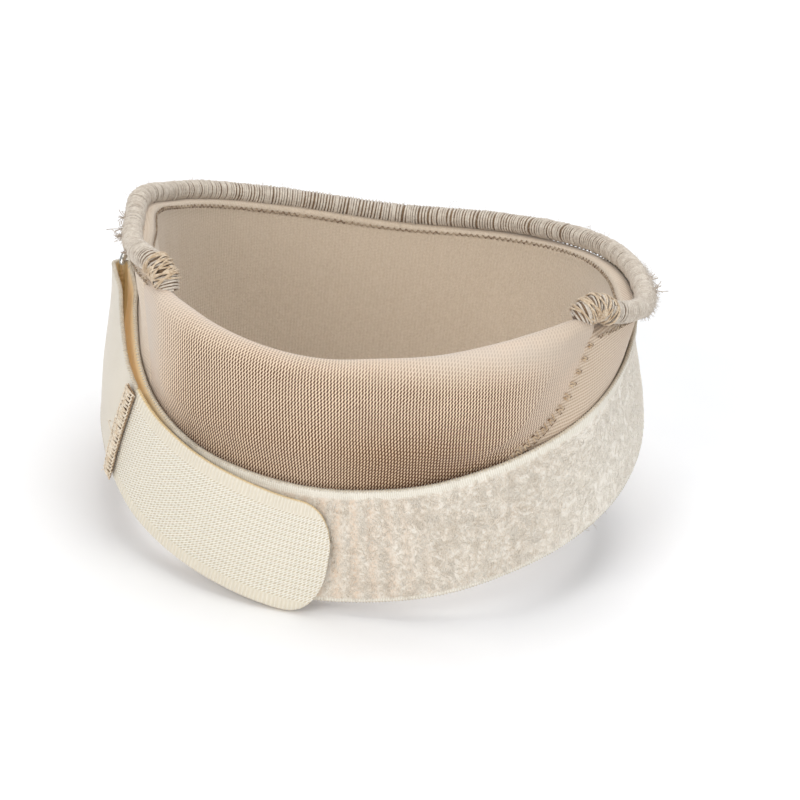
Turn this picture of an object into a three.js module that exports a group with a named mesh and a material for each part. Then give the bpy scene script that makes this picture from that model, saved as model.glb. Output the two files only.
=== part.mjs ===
import * as THREE from "three";

// Sizes in millimetres. Front is -Y, the viewer's right is +X, the floor is Z = 0.
const openingWidth = 112;      // leg opening, band to band
const openingFront = 55;       // middle of the opening to the band line in front
const openingBack = 54;        // middle of the opening to the band at the back
const roundness = 2.35;        // 2 is an ellipse, more is squarer
const bandHeight = 76;         // floor to the top of the edge rolls beside the pad
const bandThickness = 4.5;
const padCrown = 1.7;          // how far the cushion stands out above the strap
const padDepth = 5;            // how far the cushion stands in towards the leg
const padEdgeRadius = 5.5;
const rollDiameter = 5;      // serged edge roll
const knobDiameter = 6;      // thick end of the upper roll
const strapWidth = 30;
const strapThickness = 1.6;
const strapStandOff = 3;       // strap clear of the band on the viewer's right
const strapWaist = 4;          // how far the tight strap can draw the band in
const waistReach = 12.5;       // and how far above and below
const legTaper = 0.045;        // the leg narrows downwards by this slope
const tabThickness = 1.4;
const tabEndLength = 9;        // rounded end of the hook tab
const seamWidth = 3.2;         // serged ridge across the tab joint
const seamThickness = 1.2;
const wireDiameter = 1.6;
const ringSlotLength = 10;     // inside the ring, along the strap
const ringTabThickness = 1.2;
const gap = 0.3;               // between neighbouring pieces
const strapGap = 0.4;          // webbing lying on the band or cushion, or folded round the ring

const wireRadius = wireDiameter / 2;
const rollRadius = rollDiameter / 2;
const strapInner = bandThickness + strapGap;
const ringOffset = strapInner + strapThickness + strapGap + wireRadius;

// Places round the leg are angles in degrees: 0 in front, 90 on the right, 180 at the back.
const ringAngle = -106.5;
const tabSeamAngle = -59.4;
const ringTabEnd = -138;
const strapBackEnd = 214;

// Heights below are shares of bandHeight.
const padTopTable = [
  { angle: -62, height: 0.855 },
  { angle: -57, height: 0.88 },
  { angle: -50, height: 0.888 },
  { angle: -38, height: 0.872 },
  { angle: -21, height: 0.857 },
  { angle: -10, height: 0.862 },
  { angle: 0, height: 0.882 },
  { angle: 14, height: 0.91 },
  { angle: 29, height: 0.948 },
  { angle: 41, height: 0.98 },
  { angle: 46, height: 0.985 },
  { angle: 51, height: 0.955 },
];
const padBottomTable = [
  { angle: -54, height: 0.165 },
  { angle: -40, height: 0.09 },
  { angle: -20, height: 0.04 },
  { angle: 0, height: 0.075 },
  { angle: 20, height: 0.15 },
  { angle: 40, height: 0.215 },
];
const bandTopTable = [
  { angle: 44, height: 0.99 },
  { angle: 60, height: 0.975 },
  { angle: 75, height: 0.91 },
  { angle: 90, height: 0.865 },
  { angle: 120, height: 0.79 },
  { angle: 150, height: 0.71 },
  { angle: 180, height: 0.675 },
  { angle: 210, height: 0.72 },
  { angle: 240, height: 0.83 },
  { angle: 256, height: 0.9 },
  { angle: 270, height: 0.915 },
  { angle: 285, height: 0.94 },
  { angle: 300, height: 0.965 },
  { angle: 308, height: 0.965 },
];
const bandBottomTable = [
  { angle: 36, height: 0.205 },
  { angle: 48, height: 0.19 },
  { angle: 62, height: 0.155 },
  { angle: 90, height: 0.11 },
  { angle: 120, height: 0.045 },
  { angle: 150, height: -0.004 },
  { angle: 210, height: -0.004 },
  { angle: 240, height: 0.045 },
  { angle: 270, height: 0.11 },
  { angle: 300, height: 0.16 },
  { angle: 312, height: 0.165 },
];
// Slanted seams between the cushion and the band.
const seamTable = [
  { height: 0, left: -50, right: 26 },
  { height: 0.5, left: -56, right: 37 },
  { height: 0.7, left: -58.4, right: 43.5 },
  { height: 1, left: -62, right: 50.5 },
];
// Middle line of the strap; lift and flare are shares of strapStandOff, and flare is how
// much further out the lower edge stands than the upper.
const strapTable = [
  { angle: -110, height: 0.448, lift: 0.03, flare: 0 },
  { angle: -92, height: 0.448, lift: 0.08, flare: 0 },
  { angle: -80, height: 0.446, lift: 0.1, flare: 0 },
  { angle: -68, height: 0.418, lift: 0.08, flare: 0 },
  { angle: -56, height: 0.352, lift: 0.04, flare: 0 },
  { angle: -42, height: 0.28, lift: 0.02, flare: 0 },
  { angle: -27, height: 0.25, lift: 0.02, flare: 0 },
  { angle: -12, height: 0.244, lift: 0.02, flare: 0 },
  { angle: 0, height: 0.272, lift: 0.02, flare: 0 },
  { angle: 16, height: 0.318, lift: 0.1, flare: 0.1 },
  { angle: 31, height: 0.39, lift: 0.25, flare: 0.3 },
  { angle: 42, height: 0.441, lift: 0.42, flare: 0.6 },
  { angle: 57, height: 0.51, lift: 0.64, flare: 1.1 },
  { angle: 74, height: 0.562, lift: 0.7, flare: 1.3 },
  { angle: 90, height: 0.574, lift: 0.65, flare: 1.2 },
  { angle: 110, height: 0.54, lift: 0.35, flare: 0.5 },
  { angle: 135, height: 0.44, lift: 0.08, flare: 0.1 },
  { angle: 160, height: 0.36, lift: 0, flare: 0 },
  { angle: 180, height: 0.335, lift: 0, flare: 0 },
  { angle: 214, height: 0.38, lift: 0, flare: 0 },
];
// Where the tight strap draws the band in: depth is a share of strapWaist, rise is how far
// its deepest line is above the strap's middle.
const waistTable = [
  { angle: -101, depth: 0, rise: 0.25 },
  { angle: -90, depth: 0.85, rise: 0.25 },
  { angle: -80, depth: 1, rise: 0.25 },
  { angle: -70, depth: 0.85, rise: 0.25 },
  { angle: -60, depth: 0.35, rise: 0.25 },
  { angle: -50, depth: 0, rise: 0.25 },
  { angle: -40, depth: 0, rise: 0.2 },
  { angle: 40, depth: 0, rise: 0.12 },
  { angle: 50, depth: 0.02, rise: 0.12 },
  { angle: 80, depth: 0.72, rise: 0.12 },
  { angle: 112, depth: 0.6, rise: 0.12 },
  { angle: 142, depth: 0, rise: 0.12 },
];
// Doubled-back end and hook tab; lift and flare are shares of the wire thickness under them.
const tabTable = [
  { angle: -110, height: 0.448, lift: 1, flare: 0 },
  { angle: -94, height: 0.448, lift: 0.9, flare: 0.1 },
  { angle: -80, height: 0.443, lift: 0.62, flare: 0.3 },
  { angle: -69, height: 0.416, lift: 0.5, flare: 0.4 },
  { angle: -59, height: 0.368, lift: 0.4, flare: 0.6 },
  { angle: -50, height: 0.315, lift: 0.22, flare: 0.6 },
  { angle: -40, height: 0.27, lift: 0.04, flare: 0.1 },
  { angle: -28, height: 0.233, lift: 0, flare: 0 },
  { angle: -17, height: 0.207, lift: 0, flare: 0 },
  { angle: -3, height: 0.193, lift: 0, flare: 0 },
];
// Upper roll; out and rise are shares of its radius beyond the band's outer face and top.
const upperRollTable = [
  { angle: 50.6, out: -3.2, rise: 0.7, size: 1 },
  { angle: 51.8, out: -2, rise: 1.2, size: 1 },
  { angle: 53.8, out: -0.9, rise: 1.2, size: 0.8 },
  { angle: 57, out: -0.2, rise: 0.5, size: 0.35 },
  { angle: 62, out: 0.15, rise: 0, size: 0 },
  { angle: 90, out: 0.3, rise: 0, size: 0 },
  { angle: 180, out: -0.6, rise: 0, size: 0 },
  { angle: 270, out: -0.1, rise: 0, size: 0 },
  { angle: 290, out: -0.3, rise: 0, size: 0 },
  { angle: 296, out: -0.6, rise: 0.4, size: 0.4 },
  { angle: 299, out: -1.2, rise: 0.4, size: 0.9 },
  { angle: 300.6, out: -2.3, rise: -0.2, size: 1 },
  { angle: 301.6, out: -3.4, rise: -1.2, size: 1 },
];

// Smooth curve through one column of a table.
function along(table, key, value, at) {
  const last = table.length - 1;
  const x = Math.min(Math.max(at, table[0][key]), table[last][key]);
  let i = 0;
  while (i < last - 1 && x > table[i + 1][key]) i += 1;
  const slope = (j) => {
    const a = table[Math.max(j - 1, 0)];
    const b = table[Math.min(j + 1, last)];
    return (b[value] - a[value]) / (b[key] - a[key]);
  };
  const span = table[i + 1][key] - table[i][key];
  const t = (x - table[i][key]) / span;
  const from = table[i][value] * (1 + 2 * t) * (1 - t) ** 2 + slope(i) * span * t * (1 - t) ** 2;
  const to = table[i + 1][value] * t * t * (3 - 2 * t) - slope(i + 1) * span * t * t * (1 - t);
  return from + to;
}

function smooth(from, to, at) {
  const t = Math.min(Math.max((at - from) / (to - from), 0), 1);
  return t * t * (3 - 2 * t);
}

// Point on the inner face of the band, in plan.
function legPoint(angle) {
  const turn = THREE.MathUtils.degToRad(angle);
  const side = Math.abs(Math.sin(turn)) / (openingWidth / 2);
  const depth = Math.cos(turn) > 0 ? openingFront : openingBack;
  const fore = Math.abs(Math.cos(turn)) / depth;
  const reach = (side ** roundness + fore ** roundness) ** (-1 / roundness);
  return new THREE.Vector2(Math.sin(turn) * reach, -Math.cos(turn) * reach);
}

function legTangent(angle) {
  return legPoint(angle + 0.5).sub(legPoint(angle - 0.5));
}

// How far everything is drawn in where the strap bites at its upper edge.
function waist(angle, z) {
  const turned = angle > 180 ? angle - 360 : angle;
  const strap = along(strapTable, "angle", "height", turned);
  const middle = (strap + along(waistTable, "angle", "rise", turned)) * bandHeight;
  const depth = along(waistTable, "angle", "depth", turned) * strapWaist;
  return depth * Math.exp(-(((z - middle) / waistReach) ** 2));
}

// Point at a distance out from the band's inner face.
function place(angle, out, z) {
  const p = legPoint(angle);
  const t = legTangent(angle).normalize();
  const reach = out + (z - 0.6 * bandHeight) * legTaper - waist(angle, z);
  return new THREE.Vector3(p.x + t.y * reach, p.y - t.x * reach, z);
}

// Millimetres round the leg for one degree.
function reachPerDegree(angle, out) {
  return place(angle + 0.5, out, 0).distanceTo(place(angle - 0.5, out, 0));
}

function steps(from, to, count) {
  return Array.from({ length: count + 1 }, (_, i) => from + ((to - from) * i) / count);
}

// Closed solid through a row of sections; a loop joins the last section to the first.
function loft(sections, loop) {
  const count = sections[0].length;
  const points = sections.flat();
  const faces = [];
  const rows = loop ? sections.length : sections.length - 1;
  for (let i = 0; i < rows; i += 1) {
    const a = i * count;
    const b = ((i + 1) % sections.length) * count;
    for (let j = 0; j < count; j += 1) {
      const k = (j + 1) % count;
      faces.push([a + j, b + j, b + k], [a + j, b + k, a + k]);
    }
  }
  if (!loop) {
    [0, sections.length - 1].forEach((row, end) => {
      const middle = new THREE.Vector3();
      sections[row].forEach((p) => middle.addScaledVector(p, 1 / count));
      const hub = points.push(middle) - 1;
      for (let j = 0; j < count; j += 1) {
        const a = row * count + j;
        const b = row * count + ((j + 1) % count);
        faces.push(end ? [hub, b, a] : [hub, a, b]);
      }
    });
  }
  let volume = 0;
  faces.forEach(([a, b, c]) => {
    volume += points[a].dot(points[b].clone().cross(points[c]));
  });
  if (volume < 0) faces.forEach((face) => face.reverse());
  const geometry = new THREE.BufferGeometry();
  const positions = points.flatMap((p) => p.toArray());
  geometry.setAttribute("position", new THREE.Float32BufferAttribute(positions, 3));
  geometry.setIndex(faces.flat());
  geometry.computeVertexNormals();
  return geometry;
}

// Strip section: across is -0.5 to 0.5 of the width, through is -0.5 to 0.5 of the thickness.
function stripSection(width, thickness) {
  const corner = thickness * 0.3;
  const a = 0.5 - corner / width;
  return [
    { across: -a, through: -0.5 }, { across: 0, through: -0.5 }, { across: a, through: -0.5 },
    { across: 0.5, through: -0.2 }, { across: 0.5, through: 0.2 },
    { across: a, through: 0.5 }, { across: 0, through: 0.5 }, { across: -a, through: 0.5 },
    { across: -0.5, through: 0.2 }, { across: -0.5, through: -0.2 },
  ];
}

// Strip standing on its path; facing turns its thickness round, 0 is outward.
function strip(stations, width, thickness) {
  return loft(stations.map((s) => {
    const own = width * (s.share ?? 1);
    const scale = 1 / Math.hypot(1, s.slope);
    const perDegree = reachPerDegree(s.angle, s.out);
    return stripSection(own, thickness).map(({ across, through }) => {
      const lean = -across * own * s.slope * scale;
      const turn = THREE.MathUtils.degToRad(s.facing);
      const depth = thickness * (through > 0 ? through * (s.thin ?? 1) : through);
      const angle = s.angle + (lean + Math.sin(turn) * depth) / perDegree;
      const out = s.out + Math.cos(turn) * depth - across * s.flare;
      return place(angle, out, s.z + across * own * scale);
    });
  }), false);
}

function pathStation(table, angle, out, facing) {
  const z = along(table, "angle", "height", angle) * bandHeight;
  const ahead = along(table, "angle", "height", angle + 1);
  const rise = (ahead - along(table, "angle", "height", angle - 1)) / 2;
  const flare = along(table, "angle", "flare", angle) * (table === tabTable ? wireDiameter : strapStandOff);
  return { angle, out, z, facing, flare, slope: (rise * bandHeight) / reachPerDegree(angle, out) };
}

function strapOut(angle) {
  const lift = along(strapTable, "angle", "lift", angle) * strapStandOff;
  return strapInner + strapThickness / 2 + lift;
}

// Inner face of what lies over the strap.
function tabInner(angle) {
  const under = along(tabTable, "angle", "lift", angle) * (wireDiameter + 2 * strapGap - gap);
  return strapOut(angle) + strapThickness / 2 + gap + under;
}

// Cushion
function seamAngle(side, z) {
  return along(seamTable, "height", side, z / bandHeight);
}

function padSection(share) {
  const angleAt = (z) => THREE.MathUtils.lerp(seamAngle("left", z), seamAngle("right", z), share);
  const middle = angleAt(bandHeight / 2);
  const topAngle = angleAt(bandHeight);
  const lowAngle = angleAt(0);
  const top = along(padTopTable, "angle", "height", topAngle) * bandHeight;
  const bottom = along(padBottomTable, "angle", "height", lowAngle) * bandHeight;
  const strapTop = pathStation(strapTable, middle, strapInner, 0).z + strapWidth / 2;
  const fromEnd = Math.min(share, 1 - share);
  const full = smooth(0, 0.16, fromEnd);
  const radius = THREE.MathUtils.lerp(bandThickness / 2, padEdgeRadius, full);
  const sides = (z) => {
    const crown = smooth(strapTop + 1, strapTop + 10, z) * padCrown * smooth(0, 0.1, fromEnd);
    const swell = Math.sin(Math.PI * smooth(bottom - 14, top + 8, z)) ** 0.6;
    return { outer: bandThickness + crown, inner: -padDepth * full * swell };
  };
  const body = steps(bottom + radius, top - radius, 8);
  const arc = steps(0, 180, 6).slice(1, -1).map((a) => THREE.MathUtils.degToRad(a));
  const rounded = (edge, turn, sign) => {
    const { outer, inner } = sides(edge);
    const out = (outer + inner) / 2 + ((outer - inner) / 2) * Math.cos(turn);
    return { out, z: edge + sign * radius * Math.sin(turn) };
  };
  const outline = [
    ...body.map((z) => ({ out: sides(z).outer, z })),
    ...arc.map((turn) => rounded(top - radius, turn, 1)),
    ...body.slice().reverse().map((z) => ({ out: sides(z).inner, z })),
    ...arc.slice().reverse().map((turn) => rounded(bottom + radius, turn, -1)),
  ];
  return outline.map(({ out, z }) => place(angleAt(z), out, z));
}

const padShares = [0, 0.02, 0.05, 0.09, ...steps(0.13, 0.87, 20), 0.91, 0.95, 0.98, 1];
const frontPad = loft(padShares.map(padSection), false);

// Band round the sides and back
function bandTop(angle) {
  return along(bandTopTable, "angle", "height", angle) * bandHeight;
}

function bandBottom(angle) {
  return along(bandBottomTable, "angle", "height", angle) * bandHeight;
}

function bandSection(share) {
  const endGap = (2.6 * gap) / reachPerDegree(60, 0);
  const angleAt = (z) => THREE.MathUtils.lerp(
    seamAngle("right", z) + endGap,
    seamAngle("left", z) + 360 - endGap,
    share,
  );
  const top = bandTop(angleAt(bandHeight)) - rollDiameter - gap;
  const bottom = Math.max(bandBottom(angleAt(0)), 0) + rollDiameter + gap;
  const edge = bandThickness * 0.25;
  const outline = [
    ...steps(bottom + edge, top - edge, 7).map((z) => ({ out: bandThickness, z })),
    { out: bandThickness - edge, z: top },
    { out: edge, z: top },
    ...steps(top - edge, bottom + edge, 7).map((z) => ({ out: 0, z })),
    { out: edge, z: bottom },
    { out: bandThickness - edge, z: bottom },
  ];
  return outline.map(({ out, z }) => place(angleAt(z), out, z));
}

const band = loft(steps(0, 1, 56).map(bandSection), false);

// Round section across a path of points, flattened where it meets the floor
function tube(path, radiusAt, sides) {
  return loft(path.map((p, i) => {
    const ahead = path[Math.min(i + 1, path.length - 1)];
    const behind = path[Math.max(i - 1, 0)];
    const forward = ahead.clone().sub(behind).normalize();
    const across = new THREE.Vector3(0, 0, 1).cross(forward).normalize();
    const up = forward.clone().cross(across);
    return steps(0, 360, sides).slice(0, -1).map((a) => {
      const turn = THREE.MathUtils.degToRad(a + 180 / sides);
      const q = p.clone().addScaledVector(across, radiusAt(i) * Math.sin(turn));
      q.addScaledVector(up, radiusAt(i) * Math.cos(turn));
      q.z = Math.max(q.z, 0);
      return q;
    });
  }), false);
}

// Upper roll, with a thick end curling in behind the cushion at each seam
const rightKnob = [50.6, 51.2, 51.8, 52.8, 53.8, 55.4];
const leftKnob = [297, 299, 299.8, 300.6, 301.1, 301.6];
const upperAngles = [...rightKnob, ...steps(57, 295, 48), ...leftKnob];
const upperPath = upperAngles.map((angle) => {
  const out = bandThickness + along(upperRollTable, "angle", "out", angle) * rollRadius;
  const rise = along(upperRollTable, "angle", "rise", angle) * rollRadius;
  return place(angle, out, bandTop(angle) - rollRadius + rise);
});
const upperRadius = (i) => {
  const size = along(upperRollTable, "angle", "size", upperAngles[i]);
  const end = i === 0 || i === upperAngles.length - 1 ? 0.7 : 1;
  return (end * THREE.MathUtils.lerp(rollDiameter, knobDiameter, size)) / 2;
};
const upperRoll = tube(upperPath, upperRadius, 8);

// Lower roll from seam to seam round the back
const lowerAngles = steps(34.8, 306, 54);
const lowerPath = lowerAngles.map((angle) => place(angle, bandThickness / 2, bandBottom(angle) + rollRadius));
const lowerRoll = tube(lowerPath, (i) => (i === 0 || i === lowerAngles.length - 1 ? 0.8 : 1) * rollRadius, 8);

// Strap: seam end, outer layer to the ring, fold round its bar, inner layer, front, side, back
const barReach = ringSlotLength / 2 + wireRadius;
const ringPerDegree = reachPerDegree(ringAngle, ringOffset);
const ringHeight = pathStation(strapTable, ringAngle, ringOffset, 0).z;

// Point in the flat plane of the ring, side millimetres along the strap from its middle.
function ringPoint(side, out, z) {
  const along = legTangent(ringAngle).normalize();
  const p = place(ringAngle, out, z);
  return p.add(new THREE.Vector3(along.x * side, along.y * side, 0));
}

// The same point as an angle and a distance out.
function ringSpot(side) {
  const level = 0.6 * bandHeight;
  const p = ringPoint(side, ringOffset, level);
  let angle = ringAngle;
  for (let i = 0; i < 8; i += 1) {
    const foot = place(angle, ringOffset, level);
    const forward = legTangent(angle).normalize();
    angle += ((p.x - foot.x) * forward.x + (p.y - foot.y) * forward.y) / reachPerDegree(angle, ringOffset);
  }
  return { angle, out: ringOffset + p.distanceTo(place(angle, ringOffset, level)) };
}

const frontBar = ringSpot(barReach);
const rearBar = ringSpot(-barReach);

function foldStations(bar, thickness, sense, z) {
  const radius = wireRadius + strapGap + thickness / 2;
  return steps(0, 180, 8).map((a) => {
    const turn = THREE.MathUtils.degToRad(a);
    return {
      angle: bar.angle - (sense * Math.sin(turn) * radius) / ringPerDegree,
      out: bar.out + Math.cos(turn) * radius,
      z,
      facing: -sense * a,
      flare: 0,
      slope: 0,
    };
  });
}

const outerLayer = steps(tabSeamAngle, frontBar.angle + 2.5, 9).map((angle) => (
  pathStation(tabTable, angle, tabInner(angle) + strapThickness / 2, 0)
));
const innerLayer = steps(frontBar.angle + 3, strapBackEnd, 64).map((angle) => (
  pathStation(strapTable, angle, strapOut(angle), 180)
));
const strapPath = [...outerLayer, ...foldStations(frontBar, strapThickness, 1, ringHeight), ...innerLayer];
const loopStrap = strip(strapPath, strapWidth, strapThickness);

// Hook tab with a rounded end
const tabStart = tabSeamAngle + (gap + 0.1) / reachPerDegree(tabSeamAngle, ringOffset);
const tabTip = -6.1;
const tabAngles = [...steps(tabStart, tabTip - 8.5, 14), ...[0.72, 0.52, 0.34, 0.18, 0.07, 0.015].map((t) => (
  tabTip - (t * tabEndLength) / reachPerDegree(tabTip, ringOffset)
))];
const hookTab = strip(tabAngles.map((angle) => {
  const toTip = ((tabTip - angle) * reachPerDegree(tabTip, ringOffset)) / tabEndLength;
  const round = Math.max(1 - toTip, 0);
  const share = (1 - round ** 2.3) ** (1 / 2.3);
  return { ...pathStation(tabTable, angle, tabInner(angle) + tabThickness / 2, 0), share };
}), strapWidth, tabThickness);

// Serged ridge over the joint of strap and tab
const tabSeam = strip([-1, -0.7, 0.7, 1].map((t) => {
  const angle = tabSeamAngle + (t * seamWidth) / 2 / reachPerDegree(tabSeamAngle, ringOffset);
  const inner = tabInner(angle) + strapThickness + strapGap;
  const station = pathStation(tabTable, angle, inner + seamThickness / 2, 0);
  return { ...station, thin: Math.abs(t) === 1 ? 0.4 : 1 };
}), strapWidth, seamThickness);

// Rectangular wire ring, standing along the strap's edges
const slotHalf = strapWidth / 2 + gap + 0.2;
const bend = 2;

function ringPath() {
  const half = barReach;
  const tall = slotHalf + wireRadius;
  const corner = new THREE.Path();
  corner.moveTo(-half + bend, -tall);
  corner.lineTo(half - bend, -tall);
  corner.absarc(half - bend, -tall + bend, bend, -Math.PI / 2, 0, false);
  corner.lineTo(half, tall - bend);
  corner.absarc(half - bend, tall - bend, bend, 0, Math.PI / 2, false);
  corner.lineTo(-half + bend, tall);
  corner.absarc(-half + bend, tall - bend, bend, Math.PI / 2, Math.PI, false);
  corner.lineTo(-half, -tall + bend);
  corner.absarc(-half + bend, -tall + bend, bend, Math.PI, Math.PI * 1.5, false);
  const points = corner.getPoints(4);
  return points.filter((p, i) => i === 0 || p.distanceTo(points[i - 1]) > 0.01).slice(0, -1);
}

const ring = loft(ringPath().map((p, i, all) => {
  const ahead = all[(i + 1) % all.length];
  const behind = all[(i + all.length - 1) % all.length];
  const forward = ahead.clone().sub(behind).normalize();
  return steps(0, 360, 10).slice(0, -1).map((a) => {
    const turn = THREE.MathUtils.degToRad(a);
    const inPlane = wireRadius * Math.cos(turn);
    const out = ringOffset + wireRadius * Math.sin(turn);
    const side = p.x + forward.y * inPlane;
    return ringPoint(side, out, ringHeight + p.y - forward.x * inPlane);
  });
}), true);

// Folded webbing that holds the ring's rear bar
const ringTabRows = steps(ringTabEnd, rearBar.angle - 3, 8);
const plyOut = (angle, from) => {
  const bar = wireRadius + strapGap + ringTabThickness / 2;
  const flat = strapInner + ringTabThickness * (from > 0 ? 1.5 : 0.5) + (from > 0 ? gap : 0);
  const rise = smooth(rearBar.angle - 11, rearBar.angle - 1, angle);
  return THREE.MathUtils.lerp(flat, rearBar.out + from * bar, rise);
};
const plyStation = (angle, from, facing) => (
  { angle, out: plyOut(angle, from), z: ringHeight, facing, flare: 0, slope: 0 }
);
const ringTabPath = [
  ...ringTabRows.map((angle) => plyStation(angle, 1, 0)),
  ...foldStations(rearBar, ringTabThickness, -1, ringHeight),
  ...ringTabRows.slice().reverse().map((angle) => plyStation(angle, -1, 180)),
];
const ringTab = strip(ringTabPath, strapWidth, ringTabThickness);

function piece(name, geometry, color, roughness, metalness) {
  const mesh = new THREE.Mesh(geometry, new THREE.MeshStandardMaterial({ color, roughness, metalness }));
  mesh.name = name;
  return mesh;
}

const patellaStrap = new THREE.Group();
patellaStrap.name = "patella_strap";
patellaStrap.add(
  piece("front_pad", frontPad, 0xcbb095, 0.9, 0),
  piece("band", band, 0xc6b39d, 0.9, 0),
  piece("edge_roll_top", upperRoll, 0xc8bba8, 0.95, 0),
  piece("edge_roll_bottom", lowerRoll, 0xc8bba8, 0.95, 0),
  piece("loop_strap", loopStrap, 0xeee2cb, 0.95, 0),
  piece("hook_tab", hookTab, 0xefe2c4, 0.7, 0),
  piece("tab_seam", tabSeam, 0xe4d3b6, 0.9, 0),
  piece("ring", ring, 0xb9b7b2, 0.25, 1),
  piece("ring_tab", ringTab, 0xeee2cb, 0.95, 0),
);

// Origin under the middle of the whole strap, on the floor
const whole = new THREE.Box3().setFromObject(patellaStrap);
const middle = whole.getCenter(new THREE.Vector3());
patellaStrap.children.forEach((mesh) => mesh.geometry.translate(-middle.x, -middle.y, -whole.min.z));

export default patellaStrap;
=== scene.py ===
import math

import bmesh
import bpy
import numpy as np
from mathutils import Matrix, Vector


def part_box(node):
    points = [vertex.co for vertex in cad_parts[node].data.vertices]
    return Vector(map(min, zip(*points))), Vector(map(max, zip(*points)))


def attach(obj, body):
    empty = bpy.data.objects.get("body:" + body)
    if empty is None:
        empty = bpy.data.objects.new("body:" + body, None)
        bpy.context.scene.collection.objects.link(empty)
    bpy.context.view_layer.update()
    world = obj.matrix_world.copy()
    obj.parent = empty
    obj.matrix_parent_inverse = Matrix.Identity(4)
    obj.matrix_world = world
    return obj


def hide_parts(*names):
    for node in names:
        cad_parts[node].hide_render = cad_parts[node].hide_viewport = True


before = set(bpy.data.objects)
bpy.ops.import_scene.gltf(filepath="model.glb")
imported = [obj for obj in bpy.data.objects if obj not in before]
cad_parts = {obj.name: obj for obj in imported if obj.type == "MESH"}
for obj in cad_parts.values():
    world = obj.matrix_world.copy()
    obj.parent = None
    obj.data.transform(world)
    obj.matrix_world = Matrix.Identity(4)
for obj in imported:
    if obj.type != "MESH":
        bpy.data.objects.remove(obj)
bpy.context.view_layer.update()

# Millimetres everywhere until toScene; angles go round the opening, 0 in front, 90 on the right.
opening = {"width": 112, "front": 55, "back": 54, "roundness": 2.35, "height": 76, "band": 4.5, "taper": 0.045,
       "level": 0.6, "waist": 4, "waistReach": 12.5, "perDegree": 1.05}
webbing = {"width": 30, "thick": 1.6, "drawnThick": 0.9, "sunk": 0.25, "standOff": 3, "clear": 0.4, "wire": 1.6,
           "slot": 10, "ringAngle": -106.5, "seamAngle": -59.4, "backEnd": 214, "tabTip": -6.1, "tabEnd": 9,
           "tabRound": 2.3, "tabThick": 1.4, "gap": 0.3}

# angle, height as a share of the band's height
padTop = ((-62, .88), (-57, .905), (-50, .897), (-38, .874), (-21, .857), (-10, .862), (0, .882), (14, .91),
          (29, .952), (41, .982), (46, .985), (51, .965))
padBottom = ((-54, .165), (-40, .09), (-20, .04), (0, .075), (20, .15), (40, .215))
bandTop = ((44, .99), (60, .975), (75, .91), (90, .865), (120, .79), (150, .71), (180, .675), (210, .72),
           (240, .83), (256, .9), (270, .915), (285, .94), (300, .965), (308, .965))
bandBottom = ((36, .205), (48, .19), (62, .155), (90, .11), (120, .045), (150, -.004), (210, -.004),
              (240, .045), (270, .11), (300, .16), (312, .165))
# height, left and right seam angle
seams = ((0, -50, 25), (.3, -53.8, 28), (.5, -56, 30.5), (.57, -57, 33), (.63, -57.6, 38), (.7, -58.4, 42.3),
         (.8, -59.6, 45.4), (1, -62, 50.5))
# angle, height, lift and flare of the strap
strapLine = ((-110, .448, .03, 0), (-92, .448, .08, 0), (-80, .446, .1, 0), (-68, .418, .08, 0),
             (-56, .352, .04, 0), (-42, .28, .02, 0), (-27, .25, .02, 0), (-12, .24, .02, 0), (0, .25, .02, 0),
             (16, .287, .1, .1), (31, .352, .25, .4), (42, .405, .42, .8), (57, .48, .64, 1.3), (74, .547, .7, 1.4),
             (90, .568, .65, 1.2), (110, .54, .35, .5), (135, .44, .08, .1), (160, .36, 0, 0), (180, .335, 0, 0),
             (214, .38, 0, 0))
tabLine = ((-110, .448, 1, 0), (-94, .448, .9, .1), (-80, .443, .62, .3), (-69, .416, .5, .4), (-59, .368, .4, .6),
           (-50, .315, .22, .6), (-40, .27, .04, .1), (-28, .233, 0, 0), (-17, .207, 0, 0), (-3, .193, 0, 0))
# angle, depth and rise of the line where the strap draws the band in
waistLine = ((-101, 0, .25), (-90, .85, .25), (-80, 1, .25), (-70, .85, .25), (-60, .35, .25), (-50, 0, .25),
             (-40, 0, .2), (40, 0, .12), (50, .02, .12), (80, .72, .12), (112, .6, .12), (142, 0, .12))
# angle, out, rise and size of the upper roll, in radii past the band
rollLine = ((46, -1.3, .3, -1), (47, -1.25, .75, .5), (48, -1.15, 1.05, 1), (50, -.95, 1.4, 1),
            (52, -.7, 1.2, 1), (54, -.45, .7, .7), (57, -.2, .3, .3), (62, .15, 0, 0), (90, .3, 0, 0),
            (180, -.6, 0, 0), (270, -.1, 0, 0), (290, -.3, 0, 0), (294, -.5, .2, .3), (298, -.65, .3, .8),
            (301, -.85, .35, 1), (304, -1.1, 0, 1), (306, -1.35, -.9, .7), (307.2, -1.5, -1.5, -1))


def along(table, column, at):
    keys = np.array([row[0] for row in table], float)
    values = np.array([row[column] for row in table], float)
    last = len(keys) - 1
    before = np.maximum(np.arange(last + 1) - 1, 0)
    after = np.minimum(np.arange(last + 1) + 1, last)
    slopes = (values[after] - values[before]) / (keys[after] - keys[before])
    x = np.clip(at, keys[0], keys[-1])
    i = np.clip(np.searchsorted(keys, x) - 1, 0, last - 1)
    span = keys[i + 1] - keys[i]
    t = (x - keys[i]) / span
    start = values[i] * (1 + 2 * t) * (1 - t) ** 2 + slopes[i] * span * t * (1 - t) ** 2
    return start + values[i + 1] * t * t * (3 - 2 * t) - slopes[i + 1] * span * t * t * (1 - t)


def ease(low, high, at):
    t = np.clip((at - low) / (high - low), 0, 1)
    return t * t * (3 - 2 * t)


def mixed(a, b, share):
    return a + (b - a) * share


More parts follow.
